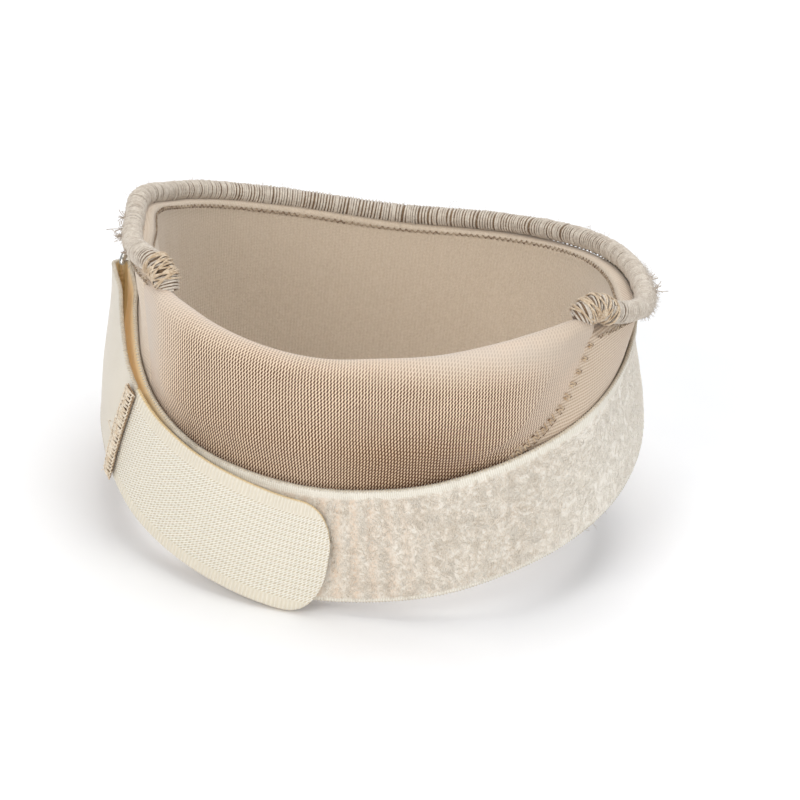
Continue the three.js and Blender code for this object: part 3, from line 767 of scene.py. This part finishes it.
def makeChains():
    # the row of chain loops where each roll meets the band, outside and inside
    runs = []
    for which, sign in (("top", -1), ("bottom", 1)):
        angle = rollPath(which, 900)[0][12:-12]
        edge = along(bandTop if which == "top" else bandBottom, 1, angle) * opening["height"]
        z = edge + sign * (wing["roll"] + 0.3)
        z = np.maximum(z, 1.0)
        for out, facing in ((opening["band"] + 0.42, 1), (-0.38, -1)):
            spots = place(angle, out, z)
            forward = rimForward(angle)
            normal = np.column_stack([forward[:, 1], -forward[:, 0], np.zeros(len(angle))]) * facing
            side = np.tile((0, 0, 1.0), (len(angle), 1))
            runs.append(chainRun(spots, side, normal, serging["chainPitch"], serging["chainWidth"], 50 + len(runs)))
    mesh = threads(runs, serging["chain"], sides=0)
    # the chain thread's dark tone is partly its own and partly painted shade of the holes between its loops
    finishPiece("serging_chain", mesh, threadFinish("chain_thread", serging["chainToneAndShade"]))
    print("chains", len(mesh.vertices))


def makeFuzz():
    # loose ends and hairs on the rolls, thicker outside on the right, and the tufts on the left
    random = np.random.default_rng(71)
    runs = []
    for which, share in (("top", 1300), ("bottom", 500)):
        angle, path, size = rollPath(which)
        forward, across, above = pathFrame(path)
        for _ in range(share):
            if which == "top" and random.random() < 0.35:
                i = int(np.searchsorted(angle, random.uniform(66, 104)))
                turn = random.uniform(-2.9, -0.3)
            else:
                i = int(random.integers(20, len(angle) - 20))
                turn = random.uniform(-np.pi, np.pi)
            outward = across[i] * np.sin(turn) + above[i] * np.cos(turn)
            start = path[i] + outward * (size[i] - 0.1)
            lean = forward[i] * random.uniform(-1, 1) + random.normal(0, 0.35, 3)
            length = random.uniform(0.4, 1.5)
            curl = random.normal(0, 0.25, 3)
            ends = np.array([start + (outward * (0.75 * t) + lean * (0.8 * t) + curl * t * t) * length
                             for t in (0, 0.4, 0.75, 1)])
            ends[:, 2] = np.maximum(ends[:, 2], 0.06)
            runs.append(ends)
    mesh = threads(runs, serging["hair"], sides=0, capped=False)
    finishPiece("serging_hairs", mesh, threadFinish("hair", serging["hairColors"]))
    tufts = []
    angle, path, size = rollPath("top")
    forward, across, above = pathFrame(path)
    # angle, turn round the roll, strands, length, spread
    for where, turn, strands, length, spread in ((272, -1.2, 12, 2.0, 0.5), (279, -1.3, 9, 2.6, 0.4),
                                                 (283, -1.5, 26, 1.9, 0.8), (84, -1.2, 10, 2.2, 0.6),
                                                 (97, -1.6, 14, 1.8, 0.8), (291, -1.9, 8, 1.5, 0.6)):
        i = int(np.searchsorted(angle, where))
        outward = across[i] * np.sin(turn) + above[i] * np.cos(turn)
        start = path[i] + outward * (size[i] - 0.4)
        for _ in range(strands):
            aim = outward + random.normal(0, spread, 3) + forward[i] * random.normal(0, spread)
            aim /= np.linalg.norm(aim)
            bend = random.normal(0, 0.45, 3)
            reach = length * random.uniform(0.5, 1.1)
            foot = start + forward[i] * random.normal(0, 0.5)
            tufts.append([foot + (aim * t + bend * t * t) * reach for t in (0, 0.3, 0.6, 0.85, 1)])
    mesh = threads(tufts, serging["loose"])
    finishPiece("loose_ends", mesh, threadFinish("loose_thread", serging["looseColors"]))
    print("fuzz", len(runs), len(tufts))


def stripStations(table, angle, out, facing):
    tall = opening["height"]
    z = along(table, 1, angle) * tall
    rise = (along(table, 1, angle + 1) - along(table, 1, angle - 1)) / 2
    share = webbing["wire"] if table is tabLine else webbing["standOff"]
    flare = along(table, 3, angle) * share
    slope = rise * tall / reachPerDegree(angle, out)
    return np.column_stack([angle, out, z, np.full(len(angle), facing), flare, slope, np.ones(len(angle))])


def strapOut(angle):
    return strapInner + webbing["thick"] / 2 - webbing["sunk"] + along(strapLine, 2, angle) * webbing["standOff"]


def tabInner(angle):
    under = along(tabLine, 2, angle) * (webbing["wire"] + 2 * webbing["clear"] - webbing["gap"])
    return strapOut(angle) + webbing["sunk"] + webbing["thick"] / 2 + webbing["gap"] + under


def foldStations(bar, thick, sense, z):
    radius = wireRadius + webbing["clear"] + thick / 2
    turn = np.linspace(0, 180, 19)
    angle = bar[0] - sense * np.sin(np.radians(turn)) * radius / ringPerDegree
    out = bar[1] + np.cos(np.radians(turn)) * radius
    flat = np.zeros(19)
    return np.column_stack([angle, out, np.full(19, z), -sense * turn, flat, flat, flat + 1])


def stripPoint(station, width, across, through):
    # across and through in millimetres; station columns are angle, out, z, facing, flare, slope, share
    angle, out, z, facing, flare, slope, share = np.moveaxis(station, -1, 0)
    scale = 1 / np.hypot(1, slope)
    lean = -across * slope * scale
    turn = np.radians(facing)
    newAngle = angle + (lean + np.sin(turn) * through) / reachPerDegree(angle, out)
    newOut = out + np.cos(turn) * through - across / width * flare
    return place(newAngle, newOut, z + across * scale)


def roundedStrip(width, thick, count):
    # a flat section with rounded edges, as across and through in millimetres
    half, side = thick / 2, width / 2
    flat = np.linspace(-side + half, side - half, count)
    arc = np.radians(np.linspace(-90, 90, 7)[1:-1])
    across = np.concatenate([flat, side - half + half * np.cos(arc), flat[::-1], -side + half - half * np.cos(arc)])
    through = np.concatenate([np.full(count, -half), half * np.sin(arc), np.full(count, half), -half * np.sin(arc)])
    return across, through


def stripMesh(stations, width, thick, count, ripple=None):
    # the strip, and how far along it each station lies
    across, through = roundedStrip(width, thick, count)
    share = stations[:, 6][:, None]
    grid = np.repeat(stations[:, None, :], len(across), 1)
    wide = across[None, :] * share
    deep = np.repeat(through[None, :], len(stations), 0)
    if ripple is not None:
        deep = deep + ripple(stations, wide, deep)
    points = stripPoint(grid, width, wide, deep)
    middle = stripPoint(stations, width, 0 * stations[:, 0], 0 * stations[:, 0])
    run = runOf(middle)
    layer = np.repeat(through[None, :] / thick, len(stations), 0)
    cloth = np.stack([np.repeat(run[:, None], len(across), 1), wide, layer], -1)
    return bentGrid(points, cloth), run


frontBar = ringSpot(barReach)
rearBar = ringSpot(-barReach)


def strapStations():
    outer = np.linspace(webbing["seamAngle"], frontBar[0] + 2.5, 46)
    inner = np.linspace(frontBar[0] + 3, webbing["backEnd"], 420)
    return np.concatenate([
        stripStations(tabLine, outer, tabInner(outer) + webbing["thick"] / 2, 0),
        foldStations(frontBar, webbing["thick"], 1, ringHeight),
        stripStations(strapLine, inner, strapOut(inner), 180),
    ])


loops = {"rib": 0.53, "whip": 0.7, "whipThread": 0.14, "selvedge": 2.2, "footEdge": 1.1, "strand": 0.062,
         "tall": 0.33, "span": 0.6, "ridge": 4.0, "depth": 0.14, "glow": 0.16, "goldTo": -46,
         # name, arches, from and to angle
         "sectors": (("front", 9500, -58, 40), ("right", 5200, 40, 100), ("back", 4600, 100, 212)),
         "cream": ((236, 231, 220), (230, 224, 211)), "ribColor": (204, 193, 172),
         "back": ((226, 218, 203), (220, 210, 193)), "weaveColor": (208, 196, 176),
         "pile": ((222, 212, 198), (229, 223, 212)), "pileGapShade": (211, 198, 181), "pileLitRight": (242, 236, 225),
         "ridgeTroughShade": (212, 182, 152), "gold": (226, 200, 154), "edgeColor": (206, 188, 156),
         "glowColor": (224, 194, 140), "arches": ((227, 216, 200), (229, 221, 208)), "archFleck": (213, 197, 177),
         "archLitRight": (243, 237, 227), "whipping": ((226, 219, 206), (204, 193, 174))}


def loopFinish(nearTab=-99.0, goldEnd=-99.0):
    finish = Finish("loop_tape", {"Emission Strength": loops["glow"], "Roughness": 0.9, "Sheen Weight": 0.4,
                                  "Sheen Roughness": 0.4, "Specular IOR Level": 0.2})
    u, v, w = finish.cloth()
    where = finish.point(u, v, w)
    side = webbing["width"] / 2
    high, foot = side - loops["selvedge"], side - loops["footEdge"]
    pile = (1 - w.ease(-0.48, -0.3)) * (1 - v.ease(high - 0.4, high + 0.4)) * (v + foot).ease(-0.3, 0.3)
    broad = finish.noise(where, 0.16, 3.0)
    clump = finish.noise(where, 1.3, 3.0)
    strand = finish.noise(finish.point(u, v * 0.55, w), 3.2, 3.0)
    rib = (u / loops["rib"]).wave()
    weave = (u / 0.55).wave() * (v / 0.5).wave()
    smooth = finish.mix(rib * 0.5, finish.mix(broad, *loops["cream"]), loops["ribColor"])
    back = finish.mix(weave * 0.3, finish.mix(broad, *loops["back"]), loops["weaveColor"])
    tangled = finish.mix(clump.ease(0.35, 0.6), *loops["pile"])
    # painted shade between the strands of pile
    tangled = finish.mix(1 - strand.ease(0.3, 0.55), tangled, loops["pileGapShade"])
    # painted light: the pile is lighter on the right, where more light falls
    litRight = finish.split(finish.spot())[0].ease(34, 60)
    tangled = finish.mix(litRight * 0.7, tangled, loops["pileLitRight"])
    front = (u - nearTab).size().ease(2, 34)  # ridges across the tape, strongest beside the tab, with painted shade in their troughs
    ridge = (u / loops["ridge"] + (broad - 0.5) * 0.5).wave() * (1 - front) * 0.6
    tangled = finish.mix(ridge * clump.ease(0.3, 0.6), tangled, loops["ridgeTroughShade"])
    gold = 1 - u.ease(goldEnd - 16, goldEnd)  # painted golden tan between the two layers by the ring, for the shade and bounced light there
    tangled = finish.mix(gold * 0.85, tangled, loops["gold"])
    smooth = finish.mix(gold * (1 - w.ease(-0.5, -0.1)) * 0.85, smooth, loops["gold"])
    base = finish.mix(w.ease(0.2, 0.4), smooth, back)
    base = finish.mix(pile, base, tangled)
    edge = v.size().ease(side - 0.35, side - 0.05)
    base = finish.mix(edge * 0.5, base, loops["edgeColor"])
    height = (clump * 1.0 + strand * 0.9) * pile + (1 - pile) * (rib * 0.45 + weave * 0.25)
    # painted glow: light coming through the thin layers by the ring is given as emission
    glow = finish.mix(gold * (1 - w.ease(-0.5, 0.1)), (0, 0, 0), loops["glowColor"])
    return finish.feed({"Base Color": base, "Emission Color": glow, "Normal": finish.bump(height, loops["depth"])})


def strandFinish():
    finish = Finish("loop_strand", {"Roughness": 0.85, "Sheen Weight": 0.4, "Specular IOR Level": 0.2})
    where = finish.spot()
    patch = finish.noise(where, 0.3, 3.0)
    fleck = finish.noise(where, 2.0, 2.0)
    base = finish.mix(patch.ease(0.35, 0.65), *loops["arches"])
    base = finish.mix(fleck.ease(0.55, 0.8) * 0.25, base, loops["archFleck"])
    # painted light: the arches are lighter on the right, where more light falls
    litRight = finish.split(where)[0].ease(34, 60)
    base = finish.mix(litRight * 0.8, base, loops["archLitRight"])
    return finish.feed({"Base Color": base, "Normal": finish.bump(fleck, 0.05)})


def pileStrands(inner, count, low, high, random):
    # small arches of thread all over the tape, but none under the tab and the doubled-back layer
    side = webbing["width"] / 2
    angle = random.uniform(low, high, count)
    across = random.uniform(loops["footEdge"] - side, side - loops["selvedge"], count)
    rise = (along(tabLine, 1, angle) - along(strapLine, 1, angle)) * opening["height"]
    toTip = webbing["tabTip"] + 0.5 - angle
    power = webbing["tabRound"]
    own = webbing["width"] / 2 * np.maximum(1 - np.clip(1 - toTip / 8, 0, 1) ** power, 0) ** (1 / power)
    covered = (toTip > 0) & (np.abs(across - rise) < own + 0.4)
    beside = 1 - ease(2, 34, np.abs(reachAt(angle) - reachAt(webbing["tabTip"])))
    ridge = 0.5 - 0.5 * np.cos(reachAt(angle) * 2 * np.pi / loops["ridge"])
    kept = ~covered & (random.random(count) > beside * 0.6 * (1 - ridge))
    angle, across = angle[kept, None], across[kept, None]
    shape = (kept.sum(), 1)
    turn = random.normal(np.pi / 2, 0.9, shape)
    span = loops["span"] * random.uniform(0.6, 1.5, shape)
    tall = loops["tall"] * random.uniform(0.5, 1.25, shape) * (1 - 0.4 * (beside * (1 - ridge))[kept, None])
    steps = np.array([-1, -0.45, 0.45, 1])
    spot = angle + steps * span * np.cos(turn) / stitching["perDegree"]
    at = np.stack([np.interp(spot, inner[:, 0], inner[:, k]) for k in range(7)], -1)
    wide = across + steps * span * np.sin(turn) + np.array([0, 1, 1, 0]) * random.normal(0, 0.3, shape)
    return stripPoint(at, webbing["width"], wide, -0.4 - np.array([-0.05, 1, 0.9, -0.05]) * tall)


def makeLoopStrap():
    stations = strapStations()

    def ripple(stations, wide, deep):  # the pile side is lumpy
        lump = np.array([wobble(wide.shape[1], 4, 200 + i // 3) for i in range(len(stations))]) * 0.08
        return np.where(deep < -0.4, lump, 0)

    mesh, run = stripMesh(stations, webbing["width"], webbing["drawnThick"], 26, ripple)
    first = int(np.argmax(stations[:, 3] > 90))  # where the strap lies on the band again
    inner = stations[first:]
    tabEnd, goldEnd = np.interp((webbing["tabTip"], loops["goldTo"]), inner[:, 0], run[first:])
    finishPiece("loop_tape", mesh, loopFinish(float(tabEnd), float(goldEnd)), ["loop_strap"])
    print("strap", len(mesh.vertices))
    strand = strandFinish()
    random = np.random.default_rng(401)
    for name, count, low, high in loops["sectors"]:
        mesh = threads(pileStrands(inner, count, low, high, random), loops["strand"], sides=0, capped=False)
        finishPiece("loop_pile_" + name, mesh, strand)
        print(name, len(mesh.vertices))
    # whipped edges of the tape
    whipping = threadFinish("edge_whipping", loops["whipping"])
    for edge, name in ((-1, "tape_edge_lower"), (1, "tape_edge_upper")):
        steps = int(run[-1] / loops["whip"]) * 8
        turn = np.arange(steps) * 2 * np.pi / 8
        at = np.linspace(0.3, run[-1] - 0.3, steps)
        station = np.stack([np.interp(at, run, stations[:, k]) for k in range(7)], -1)
        wide = edge * (webbing["width"] / 2 - 0.3 + 0.36 * np.cos(turn))
        points = stripPoint(station, webbing["width"], wide, 0.46 * np.sin(turn))
        sewing = np.column_stack([points, 1 + 0.15 * wobble(steps, 5, 77 + edge)])
        finishPiece(name, threads([sewing], loops["whipThread"], sides=0), whipping)


hooks = {"dotAlong": 0.9, "dotAcross": 1.5, "rib": 0.9, "selvedge": 3.4, "depth": 0.28,
         "cream": ((233, 226, 210), (228, 219, 201)), "gap": (200, 184, 154), "dot": (241, 236, 223),
         "ribColor": (214, 202, 176), "under": ((232, 218, 188), (214, 196, 160)), "edgeColor": (226, 200, 150),
         "tip": (.97, .93, .88, .82, .75, .67, .59, .5, .42, .34, .26, .19, .13, .085, .05, .025, .01)}


def tabFinish():
    finish = Finish("hook_tape", {"Roughness": 0.75, "Sheen Weight": 0.25, "Specular IOR Level": 0.3})
    u, v, w = finish.cloth()
    where = finish.point(u, v, w)
    side = webbing["width"] / 2
    broad = finish.noise(where, 0.15, 3.0)
    fleck = finish.noise(where, 2.6, 2.0)
    field = 1 - v.size().ease(side - hooks["selvedge"] - 0.4, side - hooks["selvedge"] + 0.4)
    column = u / hooks["dotAlong"]
    row = v / hooks["dotAcross"]
    dot = column.wave() * 0.3 + row.wave() * 0.25 + (column - row * 2).wave() * 0.45
    rib = (u / hooks["rib"]).wave()
    cream = finish.mix(broad, *hooks["cream"])
    woven = finish.mix(dot.ease(0.25, 0.65), finish.mix(0.75, cream, hooks["gap"]), hooks["dot"])
    base = finish.mix(field, finish.mix(rib * 0.5, cream, hooks["ribColor"]), woven)
    base = finish.mix(1 - w.ease(-0.2, 0.1), base, finish.mix(fleck, *hooks["under"]))
    edge = 1 - w.ease(0.1, 0.42)
    base = finish.mix(edge * w.ease(-0.4, -0.1), base, hooks["edgeColor"])
    height = dot * field + (1 - field) * rib * 0.6 + fleck * 0.3
    return finish.feed({"Base Color": base, "Normal": finish.bump(height, hooks["depth"])})


def makeHookTab():
    tip = webbing["tabTip"]
    perDegree = float(reachPerDegree(tip, ringOffset))
    start = webbing["seamAngle"] + 0.4 / float(reachPerDegree(webbing["seamAngle"], ringOffset))
    rounded = tip - np.array(hooks["tip"]) * webbing["tabEnd"] / perDegree
    angle = np.concatenate([np.linspace(start, tip - 8.6, 150), rounded])
    toTip = (tip - angle) * perDegree / webbing["tabEnd"]
    stations = stripStations(tabLine, angle, tabInner(angle) + webbing["tabThick"] / 2, 0)
    stations[:, 6] = (1 - np.maximum(1 - toTip, 0) ** webbing["tabRound"]) ** (1 / webbing["tabRound"])
    mesh = stripMesh(stations, webbing["width"], webbing["tabThick"] * 0.9, 34)[0]
    finishPiece("hook_tab_tape", mesh, tabFinish(), ["hook_tab"])
    print("tab", len(mesh.vertices))


overlock = {"width": 3.2, "sway": 1.5, "thick": 0.7, "thread": 0.2, "tail": 0.1, "pitch": 1.25,
            "bed": ((192, 162, 126), (148, 116, 82)), "colors": ((248, 239, 222), (218, 195, 164))}


def makeTabSeam():
    spread = np.linspace(-1, 1, 17)
    perDegree = float(reachPerDegree(webbing["seamAngle"], ringOffset))
    angle = webbing["seamAngle"] + spread * overlock["width"] / 2 / perDegree
    inner = tabInner(angle) + webbing["thick"] + webbing["clear"]
    stations = stripStations(tabLine, angle, inner + overlock["thick"] * 0.32, 0)
    mesh = stripMesh(stations, webbing["width"] - 1, overlock["thick"] * 0.5, 44)[0]
    # painted shade: the bed under the zigzag is dark brown, for the shade between the thread strokes
    finishPiece("tab_seam_bed", mesh, threadFinish("overlock_bed", overlock["bed"]), ["tab_seam"])
    random = np.random.default_rng(505)
    runs = []
    station = stations[8][None, :]

    def at(sideways, across, up):  # millimetres over the joint
        own = np.repeat(station, len(sideways), 0).copy()
        own[:, 0] += np.asarray(sideways) / perDegree
        own[:, 1] = tabInner(own[:, 0]) + webbing["thick"] + webbing["clear"] + 0.55
        own[:, 2] = along(tabLine, 1, own[:, 0]) * opening["height"]
        return stripPoint(own, webbing["width"], np.asarray(across), np.asarray(up))

    half = webbing["width"] / 2
    steps = int((webbing["width"] - 1) / overlock["pitch"])
    for layer in range(2):  # slanted strokes to and fro, over one another
        line, climb, height = [], [], []
        sway = overlock["sway"]
        for i in range(steps * 2 + 1):
            y = -half + 0.6 + i * overlock["pitch"] / 2 + random.normal(0, 0.1)
            line += [(-1 if i % 2 else 1) * (sway + random.normal(0, 0.18)) * (1 - 0.12 * layer), 0.0]
            climb += [y, y + overlock["pitch"] / 4]
            height += [0.05 + 0.1 * layer, 0.42 + 0.12 * layer]
        climb = np.clip(np.array(climb) + layer * 0.42, -half + 0.3, half - 0.3)
        fine = np.linspace(0, len(line) - 1, len(line) * 3)
        rows = np.arange(len(line))
        runs.append(at(np.interp(fine, rows, line), np.interp(fine, rows, climb), np.interp(fine, rows, height)))
    for edge in (-1, 1):  # the two running edges
        y = np.linspace(-half + 0.4, half - 0.4, 160)
        x = edge * (overlock["sway"] + 0.05 + 0.12 * np.sin(y * 2 * np.pi / overlock["pitch"]))
        runs.append(at(x, y, 0.12 + 0.15 * np.cos(y * 2 * np.pi / overlock["pitch"])))
    mesh = threads(runs, overlock["thread"])
    thread = threadFinish("overlock_thread", overlock["colors"])
    finishPiece("tab_seam_thread", mesh, thread)
    # loose tails: one from the middle of the joint, one at its foot, one over the gap above
    t = np.linspace(0, 1, 16)
    tails = [
        at(-1.2 - 3.4 * t + 0.4 * np.sin(t * 9), -1.5 + 1.3 * np.sin(t * 3.0), 0.3 + 0.5 * np.sin(t * 5)),
        at(-1.4 - 0.6 * t, -half + 0.4 - 1.3 * t, 0.2 + 0.3 * t),
        at(1.0 + 1.6 * t, half - 0.6 + 0.9 * np.sin(t * 2.5), 0.3 + 0.3 * np.sin(t * 4)),
    ]
    finishPiece("tab_seam_tails", threads(tails, overlock["tail"]), thread)
    print("tab seam", len(mesh.vertices))


stitching = {"thread": 0.15, "hole": 0.14, "pitch": 3.2, "densePitch": 2.5, "strokes": 2, "reach": 1.15,
             "perDegree": 1.06, "colors": ((226, 204, 172), (172, 138, 100)),
             "holeShade": ((104, 72, 44), (72, 46, 28)),
             # seam, from and to height, whether inside
             "seams": (("right", 17, 68.5, (False, True)), ("left", 14, 65, (True,)))}


def makeSeamStitches():
    random = np.random.default_rng(606)
    runs, holes = [], []
    perDegree = stitching["perDegree"]
    for side, low, high, faces in stitching["seams"]:
        for inside in faces:
            z = high
            while z > low:
                dense = float(ease(62, 50, z)) if side == "right" else 0.4
                ends = stitching["strokes"] * 2
                lean = float(seamAngle(side, z + 0.5) - seamAngle(side, z - 0.5)) * perDegree
                steep = 1 / math.hypot(1, lean)
                width = stitching["reach"] * (0.75 + 0.3 * dense)
                line, levels = [], []
                for i in range(ends):
                    line.append((1 if i % 2 else -1) * width * random.uniform(0.75, 1.1))
                    levels.append(z + (random.normal(0, 0.08) - i * (0.42 + 0.2 * dense)) * steep)
                fine = np.linspace(0, len(line) - 1, len(line) * 4)
                rows = np.arange(len(line))
                off = np.interp(fine, rows, line)
                level = np.interp(fine, rows, levels)
                bow = 0.22 * np.sin(np.pi * (fine % 1.0)) + 0.1
                angle = seamAngle(side, level) + off * steep / perDegree
                out = np.where(inside, -0.05 - bow, opening["band"] + 0.08 + bow)
                runs.append(place(angle, out, level - off * lean * steep))
                if not inside:
                    for k in range(1, ends, 1 if dense > 0.5 else 3):
                        spot = levels[k] + np.array([-0.28, 0.28])
                        off = line[k] * 0.85
                        prick = seamAngle(side, spot) + off * steep / perDegree
                        holes.append(place(prick, opening["band"] + 0.34, spot - off * lean * steep))
                z -= mixed(stitching["pitch"], stitching["densePitch"], dense) * steep
    mesh = threads(runs, stitching["thread"])
    finishPiece("seam_stitches", mesh, threadFinish("seam_thread", stitching["colors"]))
    # painted shade: dark marks for the shade in the needle holes
    pricks = threadFinish("needle_holes", stitching["holeShade"])
    finishPiece("seam_needle_holes", threads(holes, stitching["hole"], sides=0), pricks)
    print("stitches", len(mesh.vertices))


wireRing = {"spare": 0.5, "bend": 2, "colors": ((214, 212, 207), (188, 184, 176)), "ply": 1.2, "plyEnd": -138,
            "stitch": 2.2, "thread": 0.2, "stitchColors": ((232, 222, 202), (202, 184, 158)),
            # angle and height of the sewn box's corners, in sewing order
            "box": ((-136.5, -11), (-136.5, 11), (-126, 11), (-126, -11), (-136.5, -11), (-126, 11), (-136.5, 11),
                    (-126, -11)),
            "endRows": (1.6, 5.2)}


def makeRing():
    half, tall, bend = barReach, webbing["width"] / 2 + wireRing["spare"] + wireRadius, wireRing["bend"]
    corners = []
    for cx, cy, first in ((half - bend, -tall + bend, -90), (half - bend, tall - bend, 0),
                          (-half + bend, tall - bend, 90), (-half + bend, -tall + bend, 180)):
        turn = np.radians(np.linspace(first, first + 90, 9))
        corners.append(np.column_stack([cx + bend * np.cos(turn), cy + bend * np.sin(turn)]))
    outline = np.concatenate(corners)
    ahead, behind = np.roll(outline, -1, 0), np.roll(outline, 1, 0)
    forward = ahead - behind
    forward /= np.linalg.norm(forward, axis=1, keepdims=True)
    turn = np.linspace(0, 2 * np.pi, 20, endpoint=False)
    side = outline[:, 0][:, None] + forward[:, 1][:, None] * wireRadius * np.cos(turn)
    level = ringHeight + outline[:, 1][:, None] - forward[:, 0][:, None] * wireRadius * np.cos(turn)
    out = np.repeat((ringOffset + wireRadius * np.sin(turn))[None, :], len(outline), 0)
    points = ringPoint(side, out, level)
    finish = Finish("nickel_wire", {"Metallic": 1.0})
    where = finish.spot()
    scuff = finish.noise(where, 1.2, 4.0)
    material = finish.feed({"Base Color": finish.mix(scuff.ease(0.4, 0.7), *wireRing["colors"]),
                            "Roughness": scuff * 0.22 + 0.1, "Normal": finish.bump(scuff, 0.01)})
    finishPiece("ring_wire", bentGrid(points, points, closed=True), material, ["ring"])
    print("ring")


def makeRingWebbing():
    thick = wireRing["ply"]
    rows = np.linspace(wireRing["plyEnd"], rearBar[0] - 3, 60)

    def ply(angle, sign):
        bar = wireRadius + webbing["clear"] + thick / 2
        flat = strapInner + thick * (1.5 if sign > 0 else 0.5) + (webbing["gap"] if sign > 0 else 0)
        return mixed(flat, rearBar[1] + sign * bar, ease(rearBar[0] - 11, rearBar[0] - 1, angle))

    def layer(angle, sign, facing):
        flat = np.zeros(len(angle))
        return np.column_stack([angle, ply(angle, sign), flat + ringHeight, flat + facing, flat, flat, flat + 1])

    stations = np.concatenate([layer(rows, 1, 0), foldStations(rearBar, thick, -1, ringHeight),
                               layer(rows[::-1], -1, 180)])
    mesh = stripMesh(stations, webbing["width"], thick * 0.92, 24)[0]
    finishPiece("ring_webbing", mesh, loopFinish(), ["ring_tab"])
    # box of stitching that holds it to the band
    outer = strapInner + thick * 2 + webbing["gap"]
    runs = []
    for (a0, z0), (a1, z1) in zip(wireRing["box"], wireRing["box"][1:]):
        count = max(int(math.hypot((a1 - a0) * opening["perDegree"], z1 - z0) / wireRing["stitch"]), 2)
        for i in range(count):
            t = np.linspace(i / count + 0.06 / count, (i + 0.86) / count, 7)
            arch = np.sin(np.linspace(0, np.pi, 7)) * 0.18
            runs.append(place(mixed(a0, a1, t), outer - 0.02 + arch, ringHeight + mixed(z0, z1, t)))
    thread = threadFinish("box_thread", wireRing["stitchColors"])
    finishPiece("ring_box_stitch", threads(runs, wireRing["thread"]), thread)
    # the strap's own end is sewn down behind in the same way
    runs = []
    outer = strapInner + webbing["thick"] + 0.02
    for offset in wireRing["endRows"]:
        angle = webbing["backEnd"] - offset / opening["perDegree"]
        middle = float(along(strapLine, 1, angle)) * opening["height"]
        for i in range(11):
            t = np.linspace(0, 1, 7)
            z = middle - 13.2 + 2.4 * i + 2.0 * t
            runs.append(place(angle + 0.1 * np.sin(z), outer + np.sin(t * np.pi) * 0.2, z))
    finishPiece("strap_end_stitch", threads(runs, wireRing["thread"]), thread)
    print("ring webbing")


addCamera()
addLights()
addFloor()
makeCushion()
makeBand()
makeRolls()
makeChains()
makeFuzz()
makeLoopStrap()
makeHookTab()
makeTabSeam()
makeSeamStitches()
makeRing()
makeRingWebbing()
